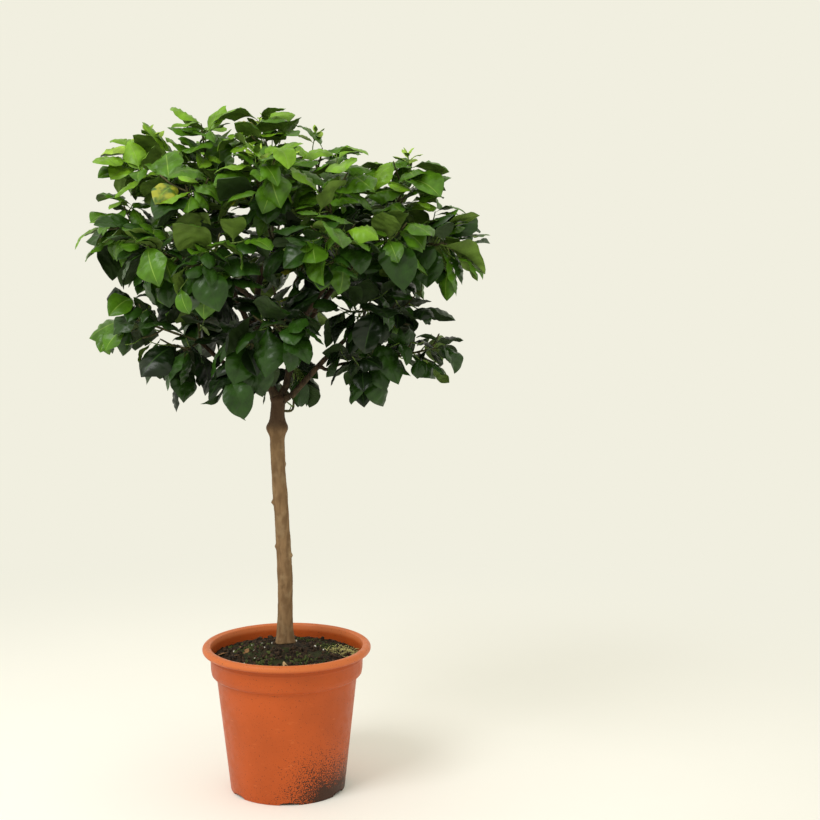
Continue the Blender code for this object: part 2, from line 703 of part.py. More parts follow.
def fuse(name, meshes, surface):
    """One solid from closed meshes that run into each other, by a Boolean union."""
    parts = bpy.data.collections.new(name + "_parts")
    bpy.context.scene.collection.children.link(parts)
    whole = add_object(name, *meshes[0], surface)
    for verts, faces in meshes[1:]:
        piece = add_object(name + "_piece", verts, faces, surface)
        bpy.context.collection.objects.unlink(piece)
        parts.objects.link(piece)
    union = whole.modifiers.new("union", "BOOLEAN")
    union.operation = "UNION"
    union.operand_type = "COLLECTION"
    union.collection = parts
    union.solver = "MANIFOLD"
    apply_modifiers(whole)
    for piece in list(parts.objects):
        bpy.data.objects.remove(piece, do_unlink=True)
    bpy.data.collections.remove(parts)
    return whole


def make_limbs(placed):
    """The trunk and the boughs, and the centre lines that the foliage grows from."""
    bark = material("grey_bark", (0.20, 0.145, 0.095), 0.85)
    young_bark = material("young_bark", (0.13, 0.085, 0.05), 0.8)
    trunk = trunk_line()
    verts, faces = make_trunk(trunk)
    add_object("trunk", verts, faces, bark)
    placed.add("trunk", verts, faces)
    lines = {"trunk": (trunk, (TRUNK_FOOT_RADIUS, TRUNK_TOP_RADIUS))}
    for bough in BOUGHS:
        line, leave = bough_line(bough, trunk, lines)
        shares = [(i / (BOUGH_RINGS - 1)) ** BOUGH_TAPER_POWER for i in range(BOUGH_RINGS)]
        radii = [mix(*bough.radii, share) for share in shares]
        verts, faces = skin(bough_rings(line, radii, leave))
        add_object(bough.name, verts, faces, young_bark)
        placed.add(bough.name, verts, faces)
        lines[bough.name] = (line, radii)
    return lines


def make_foliage(lines, placed):
    """Every mass: first all the stems, then all the shoots, then the leaves."""
    rng = random.Random(SEED)
    stems = plan_stems(lines, placed, rng)
    twigs = {mass.name: plan_shoots(mass, stems[mass.name], placed, rng) for mass in MASSES}
    leaf_green = material("leaf_green", (0.055, 0.16, 0.025), 0.45)
    for mass in MASSES:
        leaves = grow_leaves(mass, twigs[mass.name], placed, rng)
        meshes = [twig_mesh(twig.line, twig.radii) for twig in twigs[mass.name]]
        meshes += [leaf_mesh(leaf) for leaf in leaves]
        fuse(mass.name, meshes, leaf_green)


def main():
    clear_scene()
    make_pot()
    make_soil()
    placed = Placed()
    lines = make_limbs(placed)
    make_foliage(lines, placed)


main()
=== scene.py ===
"""The looks of a bouquet de fleurs bitter orange in its pot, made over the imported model's frame.

The crown grows again by the rule that the solids grew by, with the same seed and the same order of
random draws. Each of its plain blades becomes a quilted, folded leaf. Finer sprigs with smaller
leaves are carried on within the same space, and young tufts stand up out of the top masses.
"""
import json
import math
import random
from collections import namedtuple

import bmesh
import bpy
import numpy as np
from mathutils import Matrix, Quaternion, Vector, noise
from mathutils.bvhtree import BVHTree

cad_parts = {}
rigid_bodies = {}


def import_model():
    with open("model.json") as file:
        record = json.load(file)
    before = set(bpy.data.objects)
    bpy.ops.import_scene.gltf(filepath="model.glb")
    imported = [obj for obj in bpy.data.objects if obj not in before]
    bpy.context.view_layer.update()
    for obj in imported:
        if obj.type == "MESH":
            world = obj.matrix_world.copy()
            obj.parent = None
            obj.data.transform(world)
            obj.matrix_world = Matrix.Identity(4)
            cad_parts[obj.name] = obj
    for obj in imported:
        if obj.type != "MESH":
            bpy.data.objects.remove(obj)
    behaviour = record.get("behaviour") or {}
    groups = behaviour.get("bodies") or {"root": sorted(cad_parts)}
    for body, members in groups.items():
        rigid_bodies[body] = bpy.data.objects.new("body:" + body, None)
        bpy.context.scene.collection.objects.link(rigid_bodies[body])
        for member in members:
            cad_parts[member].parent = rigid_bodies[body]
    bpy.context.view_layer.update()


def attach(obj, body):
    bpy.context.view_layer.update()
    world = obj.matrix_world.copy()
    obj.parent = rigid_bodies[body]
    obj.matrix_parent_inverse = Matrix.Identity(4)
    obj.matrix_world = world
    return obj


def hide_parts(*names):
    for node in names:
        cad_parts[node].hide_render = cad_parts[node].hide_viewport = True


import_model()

# The photo's camera: where it stands, how far it looks down, and its focal length in image widths
CAMERA_PLACE = (0.173, -2.426, 0.882)
CAMERA_DOWN = math.radians(8.06)
FOCAL_WIDTHS = 1779 / 820
SENSOR = 36.0

# Light: a cream room, and a large soft lamp above, in front and to the left
ROOM_COLOUR = (241, 239, 224)
FLOOR_COLOUR = (250, 248, 243)
LAMP_PLACE = (-1.3, -1.7, 2.5)
LAMP_AIM = (0.0, 0.0, 0.6)
LAMP_SIZE = 1.3
LAMP_POWER = 44.0
FLOOR_SIZE = 60.0
FLOOR_FADE = (0.30, 1.5)

GAP = 0.0003
UP = Vector((0.0, 0.0, 1.0))
GOLDEN_ANGLE = math.radians(137.5)
CURVE_STEPS = 16

# Pot: a tapered body, a shoulder, a straight collar and a rolled lip
POT_WALL = 0.0018
POT_FLOOR = 0.0020
POT_FOOT_CHAMFER = 0.0014
POT_BODY = ((0.0014, 0.0806), (0.158, 0.0978), (0.166, 0.1045), (0.170, 0.1060), (0.1964, 0.1070))
LIP_CENTRE = (0.1125, 0.2021)
LIP_RADIUS = 0.0054
LIP_INNER_RADIUS = 0.1058
DRAIN_COUNT = 6
DRAIN_WIDTH = 0.027
DRAIN_HEIGHT = 0.004
DRAIN_FROM = 0.067
DRAIN_TURN = math.radians(-85.0)

# Soil: level at the wall, heaped up to a flat spot under the trunk
SOIL_EDGE_HEIGHT = 0.1885
GROUND_HEIGHT = 0.2065
SOIL_FLAT_RADIUS = 0.0175
SOIL_LUMP = 0.0022
SOIL_LUMP_SIZE = 0.021
SOIL_HEAP_POWER = 0.8

# Trunk: its leaning centre line, its taper, the root flare and the graft union
TRUNK_SIDES = 10
TRUNK_POINTS = 60
TRUNK_LINE = (
    (-0.0035, 0.0120, GROUND_HEIGHT + GAP),
    (-0.0021, 0.0100, 0.3064),
    (-0.0088, 0.0050, 0.4439),
    (-0.0104, 0.0010, 0.5134),
    (-0.0086, 0.0000, 0.5490),
)
TRUNK_FOOT_RADIUS = 0.0106
TRUNK_TOP_RADIUS = 0.0099
FLARE_WIDTH = 0.0034
FLARE_HEIGHT = 0.013
FLARE_LOBES = 0.6
FLARE_TURN = 0.6
GRAFT_HEIGHT = 0.5134
GRAFT_SWELLING = 0.0036
GRAFT_LENGTH = 0.009
GRAFT_LOBES = 0.45
GRAFT_TURN = 0.4
FOOT_RINGS = (0.0, 0.006, 0.015, 0.035)
GRAFT_RINGS = (-0.020, -0.010, -0.003, 0.003, 0.010)
PLAIN_RINGS = 5
HEAD_RADIUS = 0.0126
HEAD_DOME = (5, 30, 54, 74)

# Boughs: name, what it grows from (the trunk, or a bough and how far along it), the points that
# it passes through after its start, and its radius at both ends
BOUGH_SIDES = 6
BOUGH_RINGS = 7
BOUGH_LEAVING_RUN = 0.008
BOUGH_FORWARD = 0.45
BOUGH_TAPER_POWER = 0.8
BOUGH_DOME = (40, 72)
Bough = namedtuple("Bough", "name parent at through radii")
BOUGHS = (
    Bough("bough_leader", "trunk", 1.0,
          ((-0.0215, 0.002, 0.578), (-0.0330, 0.003, 0.640), (-0.0343, 0.000, 0.7065),
           (-0.0120, 0.000, 0.765)), (0.0062, 0.0036)),
    Bough("bough_mid_right", "trunk", 1.0,
          ((0.0030, 0.006, 0.574), (0.0125, 0.012, 0.618), (0.0267, 0.010, 0.6655),
           (0.0600, 0.012, 0.735)), (0.0052, 0.0034)),
    Bough("bough_right", "trunk", 1.0,
          ((0.0115, -0.003, 0.560), (0.0523, -0.006, 0.605), (0.0800, -0.008, 0.632),
           (0.1120, -0.010, 0.662)), (0.0047, 0.0026)),
    Bough("bough_left", "bough_leader", 0.10,
          ((-0.050, -0.012, 0.590), (-0.080, -0.020, 0.606), (-0.112, -0.024, 0.636)),
          (0.0042, 0.0026)),
    Bough("bough_front", "bough_leader", 0.24,
          ((-0.020, -0.040, 0.622), (-0.010, -0.078, 0.655)), (0.0036, 0.0026)),
    Bough("bough_back", "bough_mid_right", 0.18,
          ((0.000, 0.050, 0.612), (-0.018, 0.098, 0.690)), (0.0040, 0.0028)),
    Bough("bough_left_upper", "bough_leader", 0.46,
          ((-0.075, 0.004, 0.712), (-0.125, 0.006, 0.775)), (0.0040, 0.0028)),
    Bough("bough_back_left", "bough_leader", 0.34,
          ((-0.060, 0.045, 0.672), (-0.100, 0.088, 0.732)), (0.0036, 0.0027)),
    Bough("bough_front_left", "bough_leader", 0.62,
          ((-0.058, -0.045, 0.712), (-0.088, -0.088, 0.750)), (0.0036, 0.0027)),
    Bough("bough_right_upper", "bough_mid_right", 0.66,
          ((0.078, 0.006, 0.718), (0.128, 0.000, 0.770)), (0.0036, 0.0027)),
    Bough("bough_back_right", "bough_mid_right", 0.48,
          ((0.050, 0.045, 0.682), (0.085, 0.092, 0.732)), (0.0036, 0.0027)),
    Bough("bough_front_right", "bough_mid_right", 0.56,
          ((0.045, -0.035, 0.690), (0.078, -0.080, 0.738)), (0.0036, 0.0027)),
    Bough("bough_right_low", "bough_right", 0.44,
          ((0.082, -0.014, 0.6045), (0.122, -0.014, 0.6070)), (0.0023, 0.0019)),
)

# Masses of foliage, under the bough that their stems grow from: name, middle and reach
Mass = namedtuple("Mass", "name bough middle reach")
MASSES_OF = {
    "bough_leader": (
        ("top", (-0.022, 0.000, 0.912), 0.086),
        ("top_front", (-0.026, -0.122, 0.858), 0.088),
        ("top_back", (0.000, 0.140, 0.862), 0.090),
    ),
    "bough_left_upper": (
        ("top_left", (-0.184, 0.005, 0.882), 0.088),
        ("top_mid_left", (-0.100, 0.025, 0.904), 0.088),
        ("left", (-0.238, 0.000, 0.788), 0.084),
    ),
    "bough_mid_right": (
        ("top_right", (0.044, 0.020, 0.884), 0.082),
        ("inner", (0.012, -0.040, 0.740), 0.078),
    ),
    "bough_right_upper": (
        ("right_top", (0.172, 0.010, 0.850), 0.084),
        ("far_right", (0.236, -0.015, 0.762), 0.082),
        ("right_middle", (0.150, -0.100, 0.770), 0.082),
    ),
    "bough_right": (
        ("right_low", (0.168, 0.005, 0.676), 0.076),
        ("right_front_low", (0.110, -0.085, 0.686), 0.080),
    ),
    "bough_right_low": (
        ("low_right", (0.118, -0.035, 0.606), 0.068),
        ("right_tip", (0.215, -0.010, 0.624), 0.058),
    ),
    "bough_front_right": (
        ("front_right", (0.078, -0.165, 0.780), 0.084),
        ("front_top_right", (0.066, -0.092, 0.846), 0.082),
    ),
    "bough_front_left": (
        ("front_top_left", (-0.120, -0.108, 0.852), 0.088),
        ("front_left", (-0.176, -0.095, 0.756), 0.086),
        ("front_middle", (-0.078, -0.172, 0.750), 0.086),
    ),
    "bough_front": (
        ("front_low", (0.000, -0.135, 0.666), 0.080),
        ("low_left", (-0.058, -0.085, 0.602), 0.078),
    ),
    "bough_left": (
        ("left_low", (-0.138, -0.045, 0.616), 0.082),
        ("left_twig", (-0.220, -0.010, 0.668), 0.064),
        ("left_middle", (-0.130, 0.010, 0.704), 0.076),
    ),
    "bough_back": (
        ("back", (-0.045, 0.185, 0.750), 0.088),
        ("back_low", (-0.020, 0.120, 0.662), 0.080),
    ),
    "bough_back_left": (
        ("back_low_left", (-0.110, 0.095, 0.654), 0.084),
        ("back_left", (-0.184, 0.105, 0.750), 0.086),
        ("back_top_left", (-0.108, 0.130, 0.852), 0.088),
    ),
    "bough_back_right": (
        ("back_right", (0.062, 0.175, 0.740), 0.086),
        ("back_top_right", (0.100, 0.118, 0.816), 0.084),
        ("back_far_right", (0.164, 0.100, 0.732), 0.084),
    ),
    "trunk": (
        ("by_trunk", (0.016, 0.026, 0.588), 0.060),
    ),
}
MASSES = [Mass("foliage_" + name, bough, middle, reach)
          for bough, masses in MASSES_OF.items() for name, middle, reach in masses]
MASS_FLATNESS = 0.92
CROWN_LOW = (-0.287, -0.250, 0.534)
CROWN_HIGH = (0.284, 0.250, 0.953)
SPACE_SHARED = 0.16

# Stems: one to a mass, from its bough's tip or the trunk's side, turned apart where several leave
TRUNK_SHOOT_HEIGHT = 0.536
TRUNK_STAND_OFF = 1.04
STEM_RADII = (0.0021, 0.0016)
STEM_POINTS = 5
STEM_BARE = 0.52
STEM_SHORT_OF_MIDDLE = 0.10
STEM_RISE = 0.05
STEM_FIRST_RUN = 0.02
STEM_FIRST_SHARE = 0.3
STEM_BEND_AT = 0.55
STEM_TRIES = 40
STEM_BOW = 0.012
STEMS_APART = math.radians(64.0)
SPREAD_ROUNDS = 60
SPREAD_PUSH = 0.04
LEAST_FORWARD = 0.2

# Shoots: round a stem's outer half, in shares of the mass's reach
SEED = 9
TWIG_SIDES = 3
SHOOTS = 3
SHOOT_RADII = (0.0017, 0.0013)
SHOOT_POINTS = 3
SHOOT_BARE = 0.30
SHOOTS_FROM = 0.48
SHOOTS_TO = 0.90
SHOOT_LENGTHS = (0.50, 0.40, 0.30)
SHOOT_LEAN = math.radians(52.0)
SHOOT_RISE = 0.3
SHOOT_TURN_AGAIN = 0.5

# Leaves: their places, their size and form, and how they lie. A section is given as (share of the
# length, share of the half width, thickness)
LEAF_STEP = 0.0136
LAST_LEAF = 0.97
LEAF_LENGTH = (0.064, 0.084)
LEAF_WIDTH = (0.60, 0.70)
LEAF_SECTIONS = ((0.34, 0.94, 0.0022), (0.70, 0.82, 0.0010))
LEAF_ROOT_DEPTH = 0.0006
LEAF_FOLD = 0.26
LEAF_OUTER_SIZE = (1.04, 0.90)
LEAF_TRIES = 14
LEAF_SMALLER = 0.028
LEAF_SWING = (0.35, 0.175)
LEAF_LEAN = (40.0, 88.0)
LEAF_DROOP = (-0.05, 0.30)
LEAF_ROLL = 0.5
LEAF_BEND = (18.0, 95.0)
HANG_BELOW = 0.76
HANG = 0.9
CLEARANCE = 0.0004

# A leaf's last two corners
TIP = 8
ROOT = 9

Leaf = namedtuple("Leaf", "root along side length width bend")
Twig = namedtuple("Twig", "owner line radii bare")

# Sprigs: finer twigs that the solids do without, each with a few smaller leaves
SPRIG_STEP = 0.0105
SPRIG_FROM = 0.16
SPRIG_LENGTH = (0.018, 0.040)
SPRIG_LEAN = (38.0, 78.0)
SPRIG_RADII = (0.0010, 0.0006)
SPRIG_TRIES = 5
SPRIG_LEAVES = 6
SPRIG_LEAF_TRIES = 12
SPRIG_LEAF_SIZE = (0.55, 0.92)
SPRIG_TURN_AGAIN = 0.6
SPRIG_RISE = 0.15
SPRIG_BARE = 0.4

# Young tufts: upright sprigs out of the top masses, with small pale leaves at their ends
TUFT_ABOVE = 0.84
TUFT_CHANCE = 0.5
TUFT_REACH = (0.40, 0.62)
TUFT_LEAVES = 7
TUFT_LEAF_LENGTH = (0.030, 0.012)
TUFT_LEAF_WIDTH = 0.46
TUFT_FROM = 0.9
TUFT_FORWARD = 0.4
TUFT_BOW = 0.12
TUFT_POINTS = 6
TUFT_BARE = 0.72
TUFT_LEAN = (62.0, 16.0)
TUFT_BEND = (15.0, 50.0)

# A leaf's outline as (share of its length, half width), on a short winged stalk
LEAF_OUTLINE = ((0.0, 0.036), (0.05, 0.040), (0.075, 0.105), (0.10, 0.050), (0.13, 0.13), (0.19, 0.36),
                (0.28, 0.66), (0.38, 0.87), (0.48, 0.98), (0.57, 1.0), (0.68, 0.91), (0.78, 0.73),
                (0.87, 0.48), (0.94, 0.24), (0.975, 0.11), (1.0, 0.015))
LEAF_STALK_ROWS = (0.0, 0.05, 0.075, 0.10)
LEAF_BLADE_FROM = 0.125
LEAF_ROWS = 19
SMALL_LEAF_ROWS = 12
LEAF_COLUMNS = np.array((-1.0, -0.68, -0.34, -0.035, 0.035, 0.34, 0.68, 1.0))
RIB_COLUMN = 3
LEAF_THICKNESS = 0.0004
LEAF_VEINS = 5.2
VEIN_SLANT = 1.15
VEIN_RELIEF = 0.027
VEIN_STRENGTH = np.array((0.35, 1.0, 0.8, 0.0, 0.0, 0.8, 1.0, 0.35))
LEAF_FOLDS = (0.12, 0.62)
LEAF_CURL = (0.20, 0.80)
LEAF_TWIST = 0.55
LEAF_WAVE = (0.05, 0.22)
LEAF_WAVES = 1.7
WAVE_SHIFT = (1, 4)
VEIN_FADE = 0.7

# Greens as the photo shows them, from the oldest leaves to the youngest; the darker greens low down and
# inside the crown are partly the leaves' age and partly painted shade, and the lighter ones high up and
# outside are partly painted light
TONES = (
    ("leaf_deep", (17, 33, 9), 0.34),
    ("leaf_dark", (36, 66, 14), 0.34),
    ("leaf_green", (72, 112, 20), 0.36),
    ("leaf_fresh", (108, 150, 30), 0.40),
    ("leaf_young", (152, 184, 66), 0.5),
)
RIBS = (("rib_dark", (40, 66, 20), 0.45), ("rib_pale", (116, 148, 56), 0.5))
UNDERSIDES = (("underside_dark", (42, 62, 24), 0.6), ("underside_pale", (98, 124, 48), 0.6))
PALE_FROM_TONE = 2
TONE_LIMITS = (0.28, 0.50, 0.76, 1.08)
MOTTLED_SHARE = 0.014
MOTTLED = ((66, 100, 24), (158, 160, 44))

# How young a leaf is, and its painted light and shade: by its height, its way out from the middle, its
# mass's mood, and chance
YOUTH_AND_LIGHT_HIGH = 0.55
YOUTH_AND_LIGHT_OUT = 0.36
YOUTH_AND_LIGHT_MOOD = 0.08
YOUTH_AND_LIGHT_CHANCE = 0.18
FURTHEST_OUT = 1.2
CROWN_MIDDLE = Vector((0.0, 0.0, 0.74))
CROWN_REACH = Vector((0.285, 0.24, 0.21))

# Fine twigs: tubes with a swelling at each bud; the stems and shoots are a little slimmer
FINE_TWIG_SIDES = 6
TWIG_STEPS = 4
TWIG_BUD = 1.12
TWIG_END = 0.5
STEM_SLIM = 0.85

# Bark: its furrows run up the stem and its pores across it. A relief is given as (scale round the
# stem, scale up it, height), and a bud scar as (height, degrees round the stem, size)
BARK_TURNS = 64
BARK_RISE = 0.0013
BARK_FURROW = (380.0, 60.0, 0.00055)
BARK_PORE = (160.0, 800.0, 0.00022)
BARK_LUMP = (40.0, 26.0, 0.0008)
BARK_SHIFT = 7.3
BARK_FADE = (0.004, 0.25)
BARK_DOME = range(4, 89, 7)
HEAD_EASED = 32
HEAD_FLATNESS = 0.98
BUD_SCARS = ((0.4085, 200.0, 0.0032), (0.3445, 170.0, 0.0022), (0.3330, 340.0, 0.0030),
             (0.462, 20.0, 0.0018), (0.291, 250.0, 0.0016), (0.485, 300.0, 0.0022))
BUD_SCAR_SIZE = 0.0034
BOUGH_TURNS = 20
BOUGH_STATIONS = 56
BOUGH_ROOT = 0.0045
COLLAR_SWELLING = 0.0014
COLLAR_LENGTH = 0.006
BUD_SPACING = 0.021
BUD_SWELLING = 0.10
BUD_SHARPNESS = 6
BOUGH_SHIFT = 3.1
BOUGH_RELIEF = 0.55
BOUGH_END = (35, 65, 85)

# Pot in finer turns. The bead round its collar is given as (height, width, how far it stands out)
POT_TURNS = 160
SHOULDER = (0.1634, 0.1674)
SHOULDER_POWER = 0.5
BEAD = (0.1900, 0.0012, 0.0004)
POT_FINE_FROM = 0.012
LIP_BACK = ((0.0012, 0.72), (0.0, 0.3))
INNER_HEIGHTS = (0.196, 0.183, 0.171, 0.166, 0.160, 0.156, 0.10, 0.05)
DRAIN_ARCH = 0.65
POT_SHARP = 40.0

# Soil: crumbs, white grains, moss, litter and a chip. A patch of moss is given as (x, y, reach)
SOIL_TURNS = 132
SOIL_STATIONS = 44
SOIL_GRAIN = 0.0019
GRAIN_SCALE = 150.0
GRAIN_FADE = (0.008, 0.02)
CRUST_DEPTH = 0.02
CRUMBS = 420
CRUMB_SIZE = (0.0010, 0.0036)
CRUMB_STRETCH = (0.5, 1.5)
LUMP_SCALE = 1.7
GRAINS = 24
GRAIN_SIZE = (0.0007, 0.0017)
MOSS_LUMPS = 210
MOSS_SIZE = (0.0012, 0.0032)
MOSS_PATCHES = ((-0.055, 0.010, 0.026), (0.030, -0.045, 0.024), (0.020, 0.060, 0.026),
                (-0.030, -0.055, 0.018), (0.060, 0.020, 0.018))
STRAWS = 190
STRAW_LENGTH = (0.004, 0.011)
STRAW_RADII = (0.0004, 0.0004, 0.0002)
STRAW_ARCH = 0.0012
PALE_MOSS = (0.080, 0.006, 0.024)
LITTER = ((-0.082, -0.006), (-0.068, -0.026), (-0.070, 0.026), (-0.052, 0.004), (-0.088, 0.014),
          (0.046, -0.066))
LITTER_LENGTH = (0.022, 0.036)
LITTER_WIDTH = 0.55
LITTER_BEND = (0.6, 1.7)
LITTER_LIFT = 0.0035
CHIP_PLACE = (0.004, -0.074)
CHIP_SIZE = (0.0095, 0.0032, 0.0012)
STREWN_REACH = 0.094
PATCH_REACH = 0.096

# Colours and roughness of the wood, the pot and the soil
BARKS = {
    # The boughs' brown and the last, red tone of the trunk's bark, used above the graft, are partly the
    # young wood's own colour and partly painted shade under the crown
    "bark_grey": ((136, 108, 76), (150, 126, 94), (112, 86, 58), (62, 43, 30)),
    "bark_brown": ((70, 54, 36), (90, 76, 54), (40, 30, 20)),
}
POT_COLOUR = (180, 80, 28)
# This paler orange paints a highlight on the lip's top and also colours the scuffs
RIM_SHEEN_AND_SCUFF_COLOUR = (212, 118, 64)
DIRT_COLOURS = ((26, 15, 10), (74, 44, 27))
SPECK_COLOUR = (62, 36, 22)
SPLASH_TOWARD = (0.90, -0.40)
SPLASH_EDGE = (0.010, 0.080)
SPLASH_HEIGHT = 0.110
WIPED_HEIGHT = 0.045
GRAFT_BLEND = 0.012
SOIL_COLOURS = ((22, 17, 12), (62, 48, 34))
MOSS_COLOUR = (44, 52, 24)

# Small things: their darker and paler tone, their roughness and the scale of their grain
SMALL_SURFACES = {
    "twig_brown": ((62, 58, 34), (96, 92, 54), 0.7, 160.0),
    "twig_green": ((84, 112, 44), (124, 150, 64), 0.5, 160.0),
    "soil_crumb": ((22, 17, 12), (72, 54, 38), 0.95, 260.0),
    "soil_grain": ((196, 190, 176), (236, 232, 220), 0.8, 400.0),
    "moss_green": ((36, 46, 18), (84, 92, 44), 0.9, 300.0),
    "moss_dry": ((156, 148, 84), (206, 198, 136), 0.9, 420.0),
    "litter_brown": ((96, 66, 40), (142, 104, 66), 0.8, 160.0),
    "chip_pale": ((168, 138, 98), (204, 176, 132), 0.8, 200.0),
}


def ring_sides(rings):
    """Corners over rings of equal count, and the four-cornered faces between the rings."""
    count = len(rings[0])
    points = [corner for ring in rings for corner in ring]
    faces = []
    for low in range(0, len(points) - count, count):
        for i in range(count):
            j = (i + 1) % count
            faces.append((low + i, low + j, low + count + j, low + count + i))
    return points, faces


def skin(rings):
    """A closed skin over rings, with a flat cap at each end."""
    count = len(rings[0])
    points, sides = ring_sides(rings)
    return points, [tuple(reversed(range(count))), *sides, tuple(range(len(points) - count, len(points)))]


def mix(a, b, share):
    return a + (b - a) * share


def read_steps(steps, at):
    """The value at a place along a list of (place, value), straight between its entries."""
    for (low, a), (high, b) in zip(steps, steps[1:]):
        if at <= high:
            return mix(a, b, max(0.0, (at - low) / (high - low)))
    return steps[-1][1]


def smooth_line(points, count):
    """Points evenly spread along a smooth curve through the given ones."""
    points = [Vector(p) for p in points]
    ends = [points[0] * 2 - points[1], *points, points[-1] * 2 - points[-2]]
    fine = []
    for a, b, c, d in zip(ends, ends[1:], ends[2:], ends[3:]):
        for i in range(CURVE_STEPS):
            t = i / CURVE_STEPS
            fine.append(0.5 * (2 * b + (c - a) * t + (2 * a - 5 * b + 4 * c - d) * t * t
                               + (3 * b - a - 3 * c + d) * t ** 3))
    fine.append(points[-1])
    lengths = [0.0]
    for a, b in zip(fine, fine[1:]):
        lengths.append(lengths[-1] + (b - a).length)
    line = []
    for i in range(count):
        wanted = lengths[-1] * i / (count - 1)
        k = max(j for j, length in enumerate(lengths[:-1]) if length <= wanted)
        line.append(fine[k].lerp(fine[k + 1], (wanted - lengths[k]) / (lengths[k + 1] - lengths[k])))
    return line


def line_length(line):
    return sum((b - a).length for a, b in zip(line, line[1:]))


def place_along(line, share):
    """The point at a share of the way along an evenly stepped line, and the way on from it."""
    spot = share * (len(line) - 1)
    low = min(int(spot), len(line) - 2)
    return line[low].lerp(line[low + 1], spot - low), (line[low + 1] - line[low]).normalized()


def across(direction, hint=UP):
    """A unit vector square to the direction, in the plane of the hint where there is one."""
    side = hint - direction * hint.dot(direction)
    if side.length < 0.05:
        side = direction.orthogonal()
    return side.normalized()


def tangents(line):
    before = [line[0], *line[:-1]]
    after = [*line[1:], line[-1]]
    return [(b - a).normalized() for a, b in zip(before, after)]


def tube_rings(line, radii, sides, leave=None):
    """Rings along a line, turned as little as they can be from one to the next.

    The first ring is square to leave where that is given, and otherwise to the line.
    """
    rings = []
    ahead = tangents(line)
    if leave is not None:
        ahead[0] = leave
    side = across(ahead[0])
    for point, forward, radius in zip(line, ahead, radii):
        side = across(forward, side)
        other = forward.cross(side)
        rings.append([point + radius * (side * math.cos(a) + other * math.sin(a))
                      for a in (math.tau * i / sides for i in range(sides))])
    return rings


def pot_inner_radius(height):
    return read_steps(POT_BODY, height) - POT_WALL


def soil_height(radius, turn):
    """The height of the soil's surface: a heap with lumps that die out at its edge and middle."""
    share = max(0.0, min(1.0, (radius - SOIL_FLAT_RADIUS) / (pot_inner_radius(SOIL_EDGE_HEIGHT)
                                                             - SOIL_FLAT_RADIUS)))
    heap = mix(GROUND_HEIGHT, SOIL_EDGE_HEIGHT, share ** SOIL_HEAP_POWER)
    spot = Vector((radius * math.cos(turn), radius * math.sin(turn), 0.0)) / SOIL_LUMP_SIZE
    return heap + SOIL_LUMP * math.sin(math.pi * share) * noise.noise(spot)


def trunk_radius(height):
    share = (height - TRUNK_LINE[0][2]) / (TRUNK_LINE[-1][2] - TRUNK_LINE[0][2])
    return mix(TRUNK_FOOT_RADIUS, TRUNK_TOP_RADIUS, share)


def trunk_skin(height, turn):
    """The stem's radius at a height and an angle, with its lobed flare and lopsided graft union."""
    flare = FLARE_WIDTH * math.exp(-(height - GROUND_HEIGHT) / FLARE_HEIGHT)
    graft = GRAFT_SWELLING * math.exp(-((height - GRAFT_HEIGHT) / GRAFT_LENGTH) ** 2)
    return (trunk_radius(height) + flare * (1 + FLARE_LOBES * math.cos(3 * turn + FLARE_TURN))
            + graft * (1 + GRAFT_LOBES * math.cos(2 * turn + GRAFT_TURN)))


def trunk_middle(fine, height):
    """The middle of the trunk at a height, from the points of its smooth line."""
    return Vector([read_steps([(point.z, point[k]) for point in fine], height) for k in (0, 1)] + [height])


def trunk_line():
    """The trunk's centre line, with its points close together at the foot and at the graft."""
    fine = smooth_line(TRUNK_LINE, TRUNK_POINTS)
    foot = [TRUNK_LINE[0][2] + rise for rise in FOOT_RINGS]
    graft = [GRAFT_HEIGHT + rise for rise in GRAFT_RINGS]
    plain = [mix(foot[-1], graft[0], i / (PLAIN_RINGS + 1)) for i in range(1, PLAIN_RINGS + 1)]
    return [trunk_middle(fine, height) for height in (*foot, *plain, *graft, TRUNK_LINE[-1][2])]


def make_trunk(line):
    """The stem with a round head."""
    turns = [math.tau * i / TRUNK_SIDES for i in range(TRUNK_SIDES)]
    rings = [[point + trunk_skin(point.z, turn) * Vector((math.cos(turn), math.sin(turn), 0.0))
              for turn in turns] for point in line]
    for degrees in HEAD_DOME:
        rise = math.radians(degrees)
        rings.append([line[-1] + HEAD_RADIUS * Vector((math.cos(rise) * math.cos(a),
                                                       math.cos(rise) * math.sin(a), math.sin(rise)))
                      for a in turns])
    return skin(rings)


def bough_path(bough, trunk, grown):
    """The points that a bough passes through and its first direction.

    Its flat end stands GAP clear of what it grows from.
    """
    aim = Vector(bough.through[0])
    if bough.parent == "trunk":
        leave = (aim - trunk[-1]).normalized()
        start = trunk[-1] + leave * (HEAD_RADIUS + GAP)
    else:
        line, radii = grown[bough.parent]
        foot, forward = place_along(line, bough.at)
        leave = (aim - foot).normalized()
        leave = (across(forward, leave) + forward * BOUGH_FORWARD).normalized()
        slant = leave.dot(forward)
        outward = math.sqrt(1 - slant * slant)
        thick = radii[int(bough.at * (len(line) - 1))]
        start = foot + leave * ((thick + GAP + bough.radii[0] * slant) / outward)
    through = [start, start + leave * BOUGH_LEAVING_RUN, *bough.through]
    return through, leave


def dome(ring, tip, forward, radius, steps):
    """Rings that close a limb's last ring in a round end, one for each step of the rise."""
    return [[tip + (corner - tip) * math.cos(rise) + forward * radius * math.sin(rise) for corner in ring]
            for rise in (math.radians(degrees) for degrees in steps)]


def bough_rings(line, radii, leave):
    """A bough's rings, with a small dome past its last point."""
    rings = tube_rings(line, radii, BOUGH_SIDES, leave)
    return rings + dome(rings[-1], line[-1], tangents(line)[-1], radii[-1], BOUGH_DOME)


